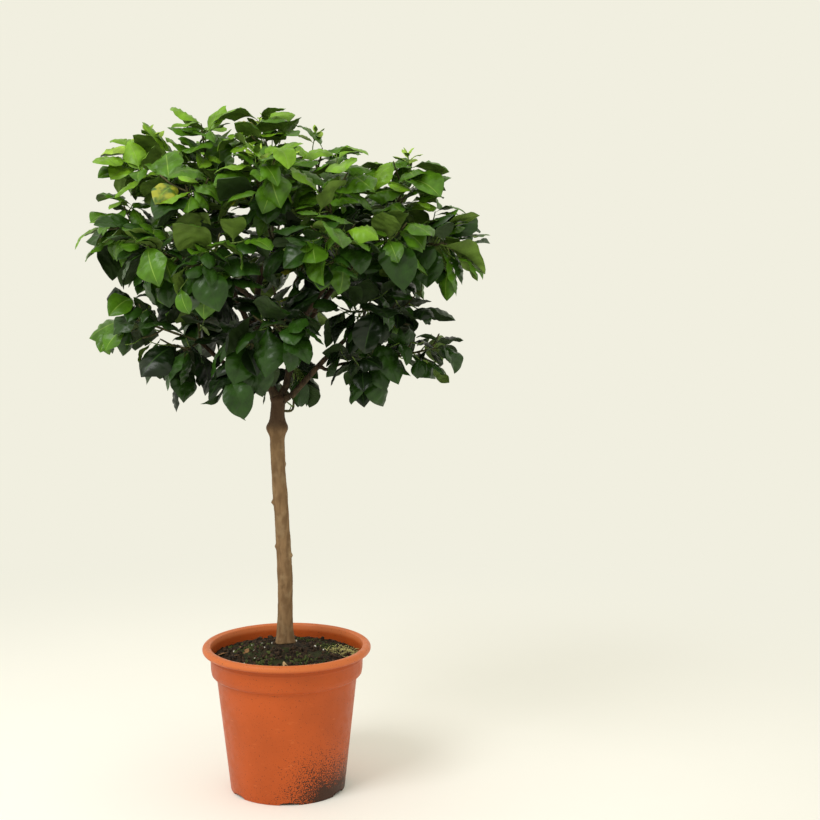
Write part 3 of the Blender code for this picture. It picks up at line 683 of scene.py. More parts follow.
class Placed:
    """The closed meshes placed so far, asked whether a new one would touch them."""

    def __init__(self):
        self.items = []

    def add(self, owner, verts, faces):
        low = [min(v[k] for v in verts) for k in range(3)]
        high = [max(v[k] for v in verts) for k in range(3)]
        self.items.append((owner, low, high, BVHTree.FromPolygons(verts, faces)))

    def is_clear(self, verts, faces, leave_out=()):
        low = [min(v[k] for v in verts) - CLEARANCE for k in range(3)]
        high = [max(v[k] for v in verts) + CLEARANCE for k in range(3)]
        tree = None
        for owner, other_low, other_high, other in self.items:
            if owner in leave_out:
                continue
            if any(low[k] > other_high[k] or high[k] < other_low[k] for k in range(3)):
                continue
            if tree is None:
                tree = BVHTree.FromPolygons(verts, faces)
            if tree.overlap(other):
                return False
        return True


def distance_in(mass, point):
    """How far out of a mass's middle a point lies, as a share of the mass's reach."""
    away = point - Vector(mass.middle)
    away.z /= MASS_FLATNESS
    return away.length / mass.reach


def in_space(mass, points):
    """Whether all the points lie in a mass's own share of the crown, within its reach."""
    for point in points:
        own = distance_in(mass, point)
        if own > 1.0 or any(not CROWN_LOW[k] < point[k] < CROWN_HIGH[k] for k in range(3)):
            return False
        if any(distance_in(other, point) < own - SPACE_SHARED for other in MASSES):
            return False
    return True


def spread_apart(directions, axis):
    """Turns directions from one tip away from each other and forward of it."""
    spread = [d.normalized() for d in directions]
    for _ in range(SPREAD_ROUNDS):
        for i, a in enumerate(spread):
            for j, b in enumerate(spread):
                if i < j and a.angle(b, 0.0) < STEMS_APART:
                    push = (a - b).normalized() * SPREAD_PUSH
                    spread[i] = (spread[i] + push).normalized()
                    spread[j] = (spread[j] - push).normalized()
            if spread[i].dot(axis) < LEAST_FORWARD:
                spread[i] = (spread[i] + axis * SPREAD_PUSH).normalized()
    return spread


def twig_mesh(line, radii, swell=0.0):
    """A three-sided twig that tapers to a blunt end."""
    count = len(line)
    widths = [mix(radii[0], radii[1], i / (count - 1)) + swell for i in range(count)]
    return skin(tube_rings(line, widths, TWIG_SIDES))


def leaf_spine(leaf, share):
    """The midrib's place and its upper side at a share of the leaf's length, along an arc."""
    over = leaf.side.cross(leaf.along)
    turn = leaf.bend * share
    run = leaf.length / leaf.bend
    place = leaf.root + leaf.along * (run * math.sin(turn)) - over * (run * (1 - math.cos(turn)))
    return place, over * math.cos(turn) + leaf.along * math.sin(turn)


def leaf_mesh(leaf, swell=0.0):
    """A thin folded blade: a point at the root, two four-cornered sections and a point."""
    half = leaf.width * leaf.length / 2
    verts = []
    for share, width, thickness in LEAF_SECTIONS:
        place, over = leaf_spine(leaf, share)
        reach = half * width + swell
        rise = over * (reach * LEAF_FOLD)
        thick = over * (thickness / 2 + swell)
        verts += [place - leaf.side * reach + rise, place + thick,
                  place + leaf.side * reach + rise, place - thick]
    verts.append(leaf_spine(leaf, 1.0)[0])
    verts.append(leaf.root - leaf.along * LEAF_ROOT_DEPTH)
    faces = []
    for i in range(4):
        j = (i + 1) % 4
        faces += [(ROOT, j, i), (i, j, 4 + j, 4 + i), (4 + i, 4 + j, TIP)]
    return verts, faces


def choose_leaf(rng, root, forward, outward, size):
    """A leaf that leaves its twig, droops under its weight and turns its upper side up."""
    lean = math.radians(rng.uniform(*LEAF_LEAN))
    along = forward * math.cos(lean) + outward * math.sin(lean)
    hang = HANG * max(0.0, (HANG_BELOW - root.z) / (HANG_BELOW - TRUNK_LINE[-1][2]))
    along = (along - UP * (rng.uniform(*LEAF_DROOP) + hang)).normalized()
    side = along.cross(UP)
    if side.length < 0.2:
        side = along.cross(outward)
    side = (Quaternion(along, rng.uniform(-LEAF_ROLL, LEAF_ROLL)) @ side).normalized()
    return Leaf(root, along, side, rng.uniform(*LEAF_LENGTH) * size, rng.uniform(*LEAF_WIDTH),
                math.radians(rng.uniform(*LEAF_BEND)))


def plan_stems(lines, placed, rng):
    """The stem of every mass, from its bough's tip or the trunk's side to the mass's middle."""
    stems = {}
    for bough_name in MASSES_OF:
        fed = [mass for mass in MASSES if mass.bough == bough_name]
        line, radii = lines[bough_name]
        if bough_name == "trunk":
            share = (TRUNK_SHOOT_HEIGHT - line[-2].z) / (line[-1].z - line[-2].z)
            root = line[-2].lerp(line[-1], share)
            stand_off = trunk_radius(root.z) * TRUNK_STAND_OFF
            leaving = [across(UP, Vector(mass.middle) - root) for mass in fed]
        else:
            root = line[-1]
            stand_off = radii[-1]
            leaving = spread_apart([Vector(mass.middle) - root for mass in fed], tangents(line)[-1])
        for mass, leave in zip(fed, leaving):
            start = root + leave * (stand_off + GAP)
            stems[mass.name] = plan_stem(mass, start, leave, placed, rng)
    return stems


def plan_stem(mass, start, leave, placed, rng):
    """A stem that bows clear of the limbs and stems that are there already."""
    middle = Vector(mass.middle)
    inward = (middle - start).normalized()
    end = middle + mass.reach * (UP * STEM_RISE - inward * STEM_SHORT_OF_MIDDLE)
    span = (end - start).length
    first = start + leave * min(STEM_FIRST_SHARE * span, STEM_FIRST_RUN)
    for attempt in range(STEM_TRIES):
        bow = Vector([rng.uniform(-1, 1) for _ in range(3)]) * span * STEM_BOW * attempt
        line = smooth_line((start, first, first.lerp(end, STEM_BEND_AT) + bow, end), STEM_POINTS)
        whole = twig_mesh(line, STEM_RADII, CLEARANCE)
        onward = twig_mesh(line[1:], STEM_RADII, CLEARANCE)
        if placed.is_clear(*whole, leave_out=(mass.bough,)) and placed.is_clear(*onward):
            placed.add(mass.name + "_stem", *twig_mesh(line, STEM_RADII))
            return line
    raise ValueError("no free way for the stem of " + mass.name)


def plan_shoots(mass, stem, placed, rng):
    """Side shoots round the stem's outer half; one that leaves the space is left out."""
    twigs = [Twig(mass.name + "_stem", stem, STEM_RADII, STEM_BARE)]
    ahead = tangents(stem)[-1]
    turn = rng.uniform(0, math.tau)
    for k in range(SHOOTS):
        turn += GOLDEN_ANGLE
        root, _ = place_along(stem, mix(SHOOTS_FROM, SHOOTS_TO, k / (SHOOTS - 1)))
        for length in SHOOT_LENGTHS:
            aside = Quaternion(ahead, turn) @ across(ahead)
            leave = ahead * math.cos(SHOOT_LEAN) + aside * math.sin(SHOOT_LEAN)
            reach = mass.reach * length
            middle = root + leave * reach / 2
            tip = middle + (leave + UP * SHOOT_RISE).normalized() * reach / 2
            line = smooth_line((root, middle, tip), SHOOT_POINTS)
            free = placed.is_clear(*twig_mesh(line, SHOOT_RADII, CLEARANCE),
                                   leave_out=(mass.name + "_stem",))
            if free and in_space(mass, line[1:]):
                shoot = Twig("%s_shoot_%d" % (mass.name, k), line, SHOOT_RADII, SHOOT_BARE)
                placed.add(shoot.owner, *twig_mesh(line, SHOOT_RADII))
                twigs.append(shoot)
                break
            turn += SHOOT_TURN_AGAIN
    return twigs


def leaf_places(twigs):
    """Where leaves may stand: the twig, the place, the way on and the share of the way out."""
    places = []
    for twig in twigs:
        steps = max(2, int(line_length(twig.line) * (1 - twig.bare) / LEAF_STEP))
        for i in range(steps + 1):
            root, forward = place_along(twig.line, mix(twig.bare, LAST_LEAF, i / steps))
            places.append((twig.owner, root, forward, i / steps))
    return places


def place_leaf(mass, name, own, root, forward, turn, size, tries, placed, rng, bare_blade=False):
    """A leaf at a place on a twig that touches nothing and keeps to its mass, or None.

    Where bare_blade is set, the blade without its root has to clear its own twig as well.
    """
    for attempt in range(tries):
        swing = turn + rng.uniform(-1, 1) * (LEAF_SWING[0] + LEAF_SWING[1] * attempt)
        outward = Quaternion(forward, swing) @ across(forward)
        leaf = choose_leaf(rng, root, forward, outward, size() * (1 - LEAF_SMALLER * attempt))
        verts, faces = leaf_mesh(leaf, CLEARANCE)
        if not in_space(mass, verts[:ROOT]) or not placed.is_clear(verts, faces, leave_out=(own,)):
            continue
        blade = [face for face in faces if ROOT not in face]
        if bare_blade and not placed.is_clear(verts[:ROOT], blade):
            continue
        placed.add(name, *leaf_mesh(leaf))
        return leaf
    return None


def grow_leaves(mass, twigs, placed, rng):
    """Leaves in a spiral up each twig; one that would touch or leave the space is skipped."""
    leaves = []
    turn = rng.uniform(0, math.tau)
    for own, root, forward, share in leaf_places(twigs):
        turn += GOLDEN_ANGLE
        leaf = place_leaf(mass, "%s_leaf_%d" % (mass.name, len(leaves)), own, root, forward, turn,
                          lambda: mix(*LEAF_OUTER_SIZE, share), LEAF_TRIES, placed, rng, bare_blade=True)
        if leaf is not None:
            leaves.append(leaf)
    return leaves


def plan_limbs(placed):
    """The limbs as the solids have them, and the lines and radii that the foliage grows from."""
    trunk = trunk_line()
    placed.add("trunk", *make_trunk(trunk))
    lines = {"trunk": (trunk, (TRUNK_FOOT_RADIUS, TRUNK_TOP_RADIUS))}
    paths = {}
    for bough in BOUGHS:
        through, leave = bough_path(bough, trunk, lines)
        line = smooth_line(through, BOUGH_RINGS)
        shares = [(i / (BOUGH_RINGS - 1)) ** BOUGH_TAPER_POWER for i in range(BOUGH_RINGS)]
        radii = [mix(*bough.radii, share) for share in shares]
        placed.add(bough.name, *skin(bough_rings(line, radii, leave)))
        lines[bough.name] = (line, radii)
        paths[bough.name] = (through, leave)
    return lines, paths


def place_sprig(mass, twig, name, root, forward, turn, placed, rng):
    """A short twig off a longer one, where there is room for it, or None."""
    for attempt in range(SPRIG_TRIES):
        lean = math.radians(rng.uniform(*SPRIG_LEAN))
        aside = Quaternion(forward, turn + SPRIG_TURN_AGAIN * attempt) @ across(forward)
        leave = forward * math.cos(lean) + aside * math.sin(lean)
        length = rng.uniform(*SPRIG_LENGTH)
        tip = root + (leave + UP * SPRIG_RISE).normalized() * length
        line = smooth_line((root, root + leave * length / 2, tip), SHOOT_POINTS)
        mesh = twig_mesh(line, SPRIG_RADII)
        if in_space(mass, line[1:]) and placed.is_clear(*mesh, leave_out=(twig.owner,)):
            placed.add(name, *mesh)
            return Twig(name, line, SPRIG_RADII, 0.0)
    return None


def grow_sprigs(mass, twigs, placed, rng):
    """Sprigs in a spiral up a mass's stem and shoots, with a few leaves on each."""
    sprigs, leaves = [], []
    turn = rng.uniform(0, math.tau)
    for twig in twigs:
        count = max(2, int(line_length(twig.line) / SPRIG_STEP))
        for i in range(count):
            turn += GOLDEN_ANGLE
            root, forward = place_along(twig.line, mix(SPRIG_FROM, LAST_LEAF, i / (count - 1)))
            name = "%s_sprig_%d" % (mass.name, len(sprigs))
            sprig = place_sprig(mass, twig, name, root, forward, turn, placed, rng)
            if sprig is None:
                continue
            sprigs.append(sprig)
            for k in range(SPRIG_LEAVES):
                spot, ahead = place_along(sprig.line, mix(SPRIG_BARE, 1.0, k / (SPRIG_LEAVES - 1)))
                leaf = place_leaf(mass, name + "_leaf", name, spot, ahead, turn + k * GOLDEN_ANGLE,
                                  lambda: rng.uniform(*SPRIG_LEAF_SIZE), SPRIG_LEAF_TRIES, placed, rng)
                if leaf is not None:
                    leaves.append(leaf)
    return sprigs, leaves


def grow_tuft(mass, stem, rng):
    """An upright sprig from a top mass's stem, with small upright leaves round its end."""
    root, forward = place_along(stem, TUFT_FROM)
    leave = (forward * TUFT_FORWARD + UP).normalized()
    reach = mass.reach * rng.uniform(*TUFT_REACH)
    bow = across(leave, Vector((rng.uniform(-1, 1), rng.uniform(-1, 1), 0.0))) * reach * TUFT_BOW
    line = smooth_line((root, root + leave * reach / 2 + bow, root + leave * reach), TUFT_POINTS)
    leaves = []
    for k in range(TUFT_LEAVES):
        share = k / (TUFT_LEAVES - 1)
        spot, ahead = place_along(line, mix(TUFT_BARE, 1.0, share))
        outward = Quaternion(ahead, k * GOLDEN_ANGLE) @ across(ahead)
        lean = math.radians(mix(*TUFT_LEAN, share))
        along = ahead * math.cos(lean) + outward * math.sin(lean)
        side = along.cross(outward - ahead * 0.01).cross(along).cross(along).normalized()
        leaves.append(Leaf(spot, along, side, mix(*TUFT_LEAF_LENGTH, share), TUFT_LEAF_WIDTH,
                           math.radians(rng.uniform(*TUFT_BEND))))
    return Twig(mass.name + "_tuft", line, SPRIG_RADII, 0.0), leaves


def sheet_faces(rows, columns):
    """Faces of a leaf's upper and lower sheet, which share their rim, and each face's kind."""
    top = np.arange(rows * columns).reshape(rows, columns)
    under = top.copy()
    under[1:-1, 1:-1] = rows * columns + np.arange((rows - 2) * (columns - 2)).reshape(
        rows - 2, columns - 2)
    faces, kinds = [], []
    for r in range(rows - 1):
        for c in range(columns - 1):
            for sheet, kind in ((top, int(c == RIB_COLUMN)), (under, 2)):
                a, b, far, near = sheet[r, c], sheet[r, c + 1], sheet[r + 1, c + 1], sheet[r + 1, c]
                # These two corners split the other way, or both sheets would share a face there
                if (r, c) in ((0, columns - 2), (rows - 2, 0)):
                    halves = [(a, b, near), (b, far, near)]
                else:
                    halves = [(a, b, far), (a, far, near)]
                faces += [half[::-1] for half in halves] if kind == 2 else halves
                kinds += [kind, kind]
    return np.array(faces), np.array(kinds)


def leaf_rows(count):
    return np.concatenate((LEAF_STALK_ROWS, np.linspace(LEAF_BLADE_FROM, 1.0, count)))


SHEETS = {count: sheet_faces(len(leaf_rows(count)), len(LEAF_COLUMNS))
          for count in (LEAF_ROWS, SMALL_LEAF_ROWS)}


def fine_leaf(leaf, count, rng):
    """A leaf's points: a blade that folds along its rib, arches, twists and puffs up between veins."""
    share = leaf_rows(count)
    across_leaf = np.abs(LEAF_COLUMNS)
    along, side = np.array(leaf.along), np.array(leaf.side)
    over = np.cross(side, along)
    turn = leaf.bend * share
    run = leaf.length / leaf.bend
    spine = (np.array(leaf.root) + np.outer(run * np.sin(turn), along)
             - np.outer(run * (1 - np.cos(turn)), over))
    up = np.outer(np.cos(turn), over) + np.outer(np.sin(turn), along)
    twist = rng.uniform(-LEAF_TWIST, LEAF_TWIST) * share[:, None]
    aside = np.cos(twist) * side + np.sin(twist) * up
    up = np.cos(twist) * up - np.sin(twist) * side
    half = np.interp(share, *zip(*LEAF_OUTLINE)) * leaf.width * leaf.length / 2
    stalk = LEAF_STALK_ROWS[-1]
    blade = np.sin(np.pi * np.clip((share - stalk) / (1 - stalk), 0, 1)) ** VEIN_FADE
    fold, curl = rng.uniform(*LEAF_FOLDS), rng.uniform(*LEAF_CURL)
    rise = half[:, None] * (fold * across_leaf - curl * across_leaf ** 2)
    veins = np.cos(math.tau * (LEAF_VEINS * share[:, None] - VEIN_SLANT * across_leaf))
    rise += VEIN_RELIEF * leaf.length * veins * VEIN_STRENGTH * blade[:, None]
    swing = (math.tau * (LEAF_WAVES * share[:, None] + rng.random())
             + (LEAF_COLUMNS > 0) * rng.uniform(*WAVE_SHIFT))
    rise += rng.uniform(*LEAF_WAVE) * half[:, None] * np.sin(swing) * across_leaf ** 2
    top = (spine[:, None] + (half[:, None] * LEAF_COLUMNS)[..., None] * aside[:, None]
           + rise[..., None] * up[:, None])
    under = top[1:-1, 1:-1] - LEAF_THICKNESS * up[1:-1, None]
    return np.concatenate((top.reshape(-1, 3), under.reshape(-1, 3)))


def leaf_tone(leaf, mood, rng):
    """Which green a leaf has: older and in painted shade low down and inside, younger and in painted light
    high up and outside.
    """
    away = leaf.root + leaf.along * leaf.length * 0.5 - CROWN_MIDDLE
    out = min(FURTHEST_OUT, Vector([away[k] / CROWN_REACH[k] for k in range(3)]).length)
    high = (leaf.root.z - CROWN_LOW[2]) / (CROWN_HIGH[2] - CROWN_LOW[2])
    # Painted shade and light: low and inner leaves get darker greens, high and outer ones lighter, on top
    # of their age
    youth_and_light = YOUTH_AND_LIGHT_HIGH * high + YOUTH_AND_LIGHT_OUT * out ** 2 + YOUTH_AND_LIGHT_MOOD * mood
    youth_and_light += rng.uniform(-YOUTH_AND_LIGHT_CHANCE, YOUTH_AND_LIGHT_CHANCE)
    return sum(youth_and_light > limit for limit in TONE_LIMITS)


def leaf_part(leaf, count, tone, rng):
    """One leaf for a joined piece, with the place of each face's material in the list."""
    faces, kinds = SHEETS[count]
    # Ribs and undersides follow the leaf's green, so they are dark too where the leaf has painted shade
    pale = int(tone >= PALE_FROM_TONE)
    slots = np.array((tone, len(TONES) + pale, len(TONES) + len(RIBS) + pale))[kinds]
    if rng.random() < MOTTLED_SHARE:
        slots[kinds == 0] = len(TONES) + len(RIBS) + len(UNDERSIDES)
    return fine_leaf(leaf, count, rng), faces, slots


def add_object(name, data):
    item = bpy.data.objects.new(name, data)
    bpy.context.collection.objects.link(item)
    return item


def join_parts(name, parts):
    """One mesh from parts of (points, faces, material places)."""
    points, faces = [], []
    base = 0
    for part_points, part_faces, _ in parts:
        points.append(np.asarray(part_points, float).reshape(-1, 3))
        faces += [tuple(int(i) + base for i in face) for face in part_faces]
        base += len(part_points)
    mesh = bpy.data.meshes.new(name)
    mesh.from_pydata(np.concatenate(points).tolist(), [], faces)
    return mesh


def shade(mesh, sharp):
    """Smooth shading, with an edge kept sharp where it turns by more than so many degrees."""
    mesh.shade_smooth()
    mesh.set_sharp_from_angle(angle=math.radians(sharp))


def build_piece(name, parts, surfaces, replaced=(), sharp=70.0):
    """One joined piece with its materials, riding with the plant."""
    mesh = join_parts(name, parts)
    for surface in surfaces:
        mesh.materials.append(surface)
    places = np.concatenate([np.broadcast_to(place, len(faces)) for _, faces, place in parts])
    mesh.polygons.foreach_set("material_index", places.astype(np.int32))
    shade(mesh, sharp)
    mesh.update()
    piece = add_object(name, mesh)
    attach(piece, "root")
    if replaced:
        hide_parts(*replaced)
    return piece


def tube_part(rings, place=0):
    """A closed tube over rings, with a fan of faces at each end."""
    count = len(rings[0])
    points, faces = ring_sides(rings)
    first, last = len(points), len(points) + 1
    points += [sum(rings[0], Vector()) / count, sum(rings[-1], Vector()) / count]
    end = first - count
    faces += [(first, (i + 1) % count, i) for i in range(count)]
    faces += [(last, end + i, end + (i + 1) % count) for i in range(count)]
    return points, faces, place


def twig_part(twig, place, slim=1.0):
    """A twig as a tube with a slight swelling at each bud."""
    line = smooth_line(twig.line, TWIG_STEPS * len(twig.line))
    last = len(line) - 1
    radii = [slim * mix(*twig.radii, i / last) * (TWIG_BUD if i % TWIG_STEPS == TWIG_STEPS // 2 else 1.0)
             for i in range(last + 1)]
    radii[-1] *= TWIG_END
    return tube_part(tube_rings(line, radii, FINE_TWIG_SIDES), place)


def bark_relief(point, turn, radius, seed):
    """How far the bark stands out at a place on a limb: furrows, pores and broad lumps."""
    rise = 0.0
    for k, (around, up, height) in enumerate((BARK_FURROW, BARK_PORE, BARK_LUMP)):
        spot = Vector((math.cos(turn) * radius * around, math.sin(turn) * radius * around,
                       point.z * up + seed + BARK_SHIFT * k))
        rise += height * noise.noise(spot)
    return rise


def make_bark_trunk(head, surface):
    """The stem with its bud scars and its bark, up to a round head."""
    fine = smooth_line(TRUNK_LINE, TRUNK_POINTS)
    low, high = TRUNK_LINE[0][2], TRUNK_LINE[-1][2]
    stations = int((high - low) / BARK_RISE)
    turns = [math.tau * k / BARK_TURNS for k in range(BARK_TURNS)]
    rings = []
    for i in range(stations + 1):
        height = mix(low, high, i / stations)
        middle = trunk_middle(fine, height)
        fade = min(1.0, (height - low) / BARK_FADE[0] + BARK_FADE[1])
        ring = []
        for turn in turns:
            radius = trunk_skin(height, turn)
            for scar_height, degrees, size in BUD_SCARS:
                apart = (turn - math.radians(degrees) + math.pi) % math.tau - math.pi
                gap = ((apart * radius) ** 2 + (height - scar_height) ** 2) / BUD_SCAR_SIZE ** 2
                radius += size * math.exp(-gap)
            radius += fade * bark_relief(middle, turn, radius, 0.0)
            ring.append(middle + radius * Vector((math.cos(turn), math.sin(turn), 0.0)))
        rings.append(ring)
    for degrees in BARK_DOME:
        rise = math.radians(degrees)
        ring = []
        for turn in turns:
            edge = trunk_skin(high, turn) + bark_relief(head, turn, HEAD_RADIUS, 0.0)
            reach = mix(edge, HEAD_RADIUS, min(1.0, degrees / HEAD_EASED)) * math.cos(rise)
            ring.append(head + Vector((reach * math.cos(turn), reach * math.sin(turn),
                                       HEAD_RADIUS * math.sin(rise) * HEAD_FLATNESS)))
        rings.append(ring)
    build_piece("trunk_bark", [tube_part(rings)], [surface], ["trunk"], 180.0)


def make_bark_boughs(paths, surface):
    """Every bough with its collar, its bud swellings and its thinner bark, joined as one piece."""
    parts = []
    for number, bough in enumerate(BOUGHS):
        through, leave = paths[bough.name]
        line = smooth_line([through[0] - leave * BOUGH_ROOT, *through], BOUGH_STATIONS)
        length = line_length(line)
        radii = []
        for i in range(BOUGH_STATIONS):
            share = i / (BOUGH_STATIONS - 1)
            radius = mix(*bough.radii, share ** BOUGH_TAPER_POWER)
            radius += COLLAR_SWELLING * math.exp(-length * share / COLLAR_LENGTH)
            bud = max(0.0, math.cos(math.tau * length * share / BUD_SPACING))
            radii.append(radius * (1 + BUD_SWELLING * bud ** BUD_SHARPNESS))
        rings = tube_rings(line, radii, BOUGH_TURNS)
        for i, ring in enumerate(rings):
            for k, corner in enumerate(ring):
                out = (corner - line[i]).normalized()
                turn = math.tau * k / BOUGH_TURNS
                relief = bark_relief(line[i], turn, radii[i], BOUGH_SHIFT * number)
                ring[k] = corner + out * relief * BOUGH_RELIEF
        rings += dome(rings[-1], line[-1], tangents(line)[-1], radii[-1], BOUGH_END)
        parts.append(tube_part(rings))
    build_piece("bough_bark", parts, [surface], [bough.name for bough in BOUGHS], 180.0)


def make_crown(lines, placed, leaf_surfaces, twig_surfaces):
    """The foliage: one piece of leaves to a bough, and all the twigs as one piece."""
    rng = random.Random(SEED)
    stems = plan_stems(lines, placed, rng)
    twigs = {mass.name: plan_shoots(mass, stems[mass.name], placed, rng) for mass in MASSES}
    leaves = {mass.name: grow_leaves(mass, twigs[mass.name], placed, rng) for mass in MASSES}
    finer = random.Random(SEED + 1)
    leaf_parts = {bough_name: [] for bough_name in MASSES_OF}
    twig_parts = []
    for mass in MASSES:
        mood = finer.uniform(-1, 1)
        parts = leaf_parts[mass.bough]
        for leaf in leaves[mass.name]:
            parts.append(leaf_part(leaf, LEAF_ROWS, leaf_tone(leaf, mood, finer), finer))
        sprigs, small = grow_sprigs(mass, twigs[mass.name], placed, finer)
        for leaf in small:
            parts.append(leaf_part(leaf, SMALL_LEAF_ROWS, leaf_tone(leaf, mood, finer), finer))
        twig_parts += [twig_part(twig, 0, STEM_SLIM) for twig in twigs[mass.name]]
        twig_parts += [twig_part(sprig, 1) for sprig in sprigs]
        if mass.middle[2] > TUFT_ABOVE and finer.random() < TUFT_CHANCE:
            tuft, young = grow_tuft(mass, stems[mass.name], finer)
            twig_parts.append(twig_part(tuft, 1))
            for leaf in young:
                parts.append(leaf_part(leaf, SMALL_LEAF_ROWS, len(TONES) - 1, finer))
    for bough_name, parts in leaf_parts.items():
        fed = [mass.name for mass in MASSES if mass.bough == bough_name]
        build_piece("leaves_" + bough_name, parts, leaf_surfaces, fed, 100.0)
    build_piece("twigs", twig_parts, twig_surfaces, (), 180.0)


def arc(centre, radius, steps):
    """Points of an arc as (distance from the axis, height), one for each of the angles."""
    return [(centre[0] + radius * math.cos(math.radians(a)), centre[1] + radius * math.sin(math.radians(a)))
            for a in steps]


def pot_outer_radius(height):
    """The outer wall: the body's taper, the eased shoulder, the collar and the bead round it."""
    low, high = SHOULDER
    (foot_height, foot), (body_height, body) = POT_BODY[:2]
    if height < high:
        tapered = mix(foot, body, (min(height, low) - foot_height) / (body_height - foot_height))
        share = max(0.0, height - low) / (high - low)
        return mix(tapered, read_steps(POT_BODY, high), share ** SHOULDER_POWER)
    place, width, rise = BEAD
    return read_steps(POT_BODY, height) + rise * math.exp(-((height - place) / width) ** 2)


def make_fine_pot(surface):
    """The pot turned in fine steps, with its drain slots cut through the foot."""
    foot = POT_BODY[0][1]
    profile = arc((foot - POT_FOOT_CHAMFER, POT_FOOT_CHAMFER), POT_FOOT_CHAMFER, range(-90, 1, 30))
    low, high = SHOULDER
    bead, width = BEAD[:2]
    heights = [*np.linspace(POT_FINE_FROM, low, 12), *np.linspace(low, high, 10)[1:],
               *np.linspace(high, bead - 3 * width, 4)[1:],
               *np.linspace(bead - 2 * width, bead + 2 * width, 8), POT_BODY[-1][0]]
    profile += [(pot_outer_radius(height), height) for height in heights]
    profile += arc(LIP_CENTRE, LIP_RADIUS, range(-85, 116, 10))
    profile += [(LIP_INNER_RADIUS + out, LIP_CENTRE[1] + LIP_RADIUS * up) for out, up in LIP_BACK]
    profile += [(pot_outer_radius(height) - POT_WALL, height) for height in INNER_HEIGHTS]
    profile.append((pot_inner_radius(POT_FLOOR), POT_FLOOR))
    turns = [math.tau * i / POT_TURNS for i in range(POT_TURNS)]
    rings = [[Vector((radius * math.cos(a), radius * math.sin(a), height)) for a in turns]
             for radius, height in profile]
    pot = build_piece("pot_shell", [tube_part(rings)], [surface], ["pot"], POT_SHARP)
    outline = [(-0.5, -1.0), (0.5, -1.0)]
    outline += [(0.5 * math.cos(rise), 1 - DRAIN_ARCH + DRAIN_ARCH * math.sin(rise))
                for rise in (math.radians(degrees) for degrees in range(0, 181, 15))]
    cutters = []
    for i in range(DRAIN_COUNT):
        turn = DRAIN_TURN + math.tau * i / DRAIN_COUNT
        ahead = Vector((math.cos(turn), math.sin(turn), 0))
        aside = Vector((-math.sin(turn), math.cos(turn), 0))
        cutters.append(tube_part([[ahead * x + aside * y * DRAIN_WIDTH + UP * z * DRAIN_HEIGHT
                                   for y, z in outline] for x in (DRAIN_FROM, foot + 5 * POT_WALL)]))
    cut_from(pot, cutters)


def cut_from(piece, parts):
    """Cuts closed shapes out of a piece, for good."""
    cutter = add_object("cutter", join_parts("cutter", parts))
    cut = piece.modifiers.new("drains", "BOOLEAN")
    cut.object = cutter
    cut.operation = "DIFFERENCE"
    graph = bpy.context.evaluated_depsgraph_get()
    finished = bpy.data.meshes.new_from_object(piece.evaluated_get(graph))
    piece.modifiers.clear()
    piece.data = finished
    shade(finished, POT_SHARP)
    bpy.data.objects.remove(cutter, do_unlink=True)


def ground_height(x, y):
    """The soil's surface with its grain, at a place inside the pot."""
    radius = math.hypot(x, y)
    height = soil_height(radius, math.atan2(y, x))
    fade = max(0.0, min(1.0, (radius - GRAIN_FADE[0]) / GRAIN_FADE[1]))
    grain = noise.fractal(Vector((x, y, 0.3)) * GRAIN_SCALE, 0.7, 2.1, 4)
    return height + fade * SOIL_GRAIN * grain


def make_fine_soil(surface):
    """A closed crust of soil with a grainy top, out to the pot's wall."""
    edge = pot_inner_radius(SOIL_EDGE_HEIGHT) - GAP
    turns = [math.tau * i / SOIL_TURNS for i in range(SOIL_TURNS)]
    base = SOIL_EDGE_HEIGHT - CRUST_DEPTH
    low = pot_inner_radius(base) - 2 * GAP
    rings = [[Vector((low * math.cos(a), low * math.sin(a), base)) for a in turns]]
    for i in range(SOIL_STATIONS):
        radius = edge * (1 - i / SOIL_STATIONS)
        rings.append([Vector((radius * math.cos(a), radius * math.sin(a),
                              ground_height(radius * math.cos(a), radius * math.sin(a)))) for a in turns])
    build_piece("soil_crust", [tube_part(rings)], [surface], ["soil"], 180.0)


def ball():
    """Points and faces of a small round ball of radius 1."""
    shape = bmesh.new()
    bmesh.ops.create_icosphere(shape, subdivisions=2, radius=1.0)
    points = [v.co.copy() for v in shape.verts]
    faces = [tuple(v.index for v in face.verts) for face in shape.faces]
    shape.free()
    return points, faces


BALL = ball()


def lump(centre, sizes, roughness, rng):
    """A ball with its skin pushed in and out, stretched and turned at random."""
    turn = Quaternion([rng.gauss(0, 1) for _ in range(4)]).normalized()
    shift = Vector((rng.uniform(0, 50), rng.uniform(0, 50), 0))
    points = []
    for point in BALL[0]:
        swollen = point * (1 + roughness * noise.noise(point * LUMP_SCALE + shift))
        points.append(centre + turn @ Vector([swollen[k] * sizes[k] for k in range(3)]))
    return points, BALL[1], 0


def on_soil(x, y, lift):
    return Vector((x, y, ground_height(x, y) + lift))


def spot_in_pot(rng):
    radius, turn = STREWN_REACH * math.sqrt(rng.uniform(0.03, 1)), rng.uniform(0, math.tau)
    return radius * math.cos(turn), radius * math.sin(turn)


def spot_in_patch(rng, patch):
    x, y, reach = patch
    spot = Vector((x + rng.gauss(0, reach / 2), y + rng.gauss(0, reach / 2)))
    return spot * min(1.0, PATCH_REACH / spot.length)


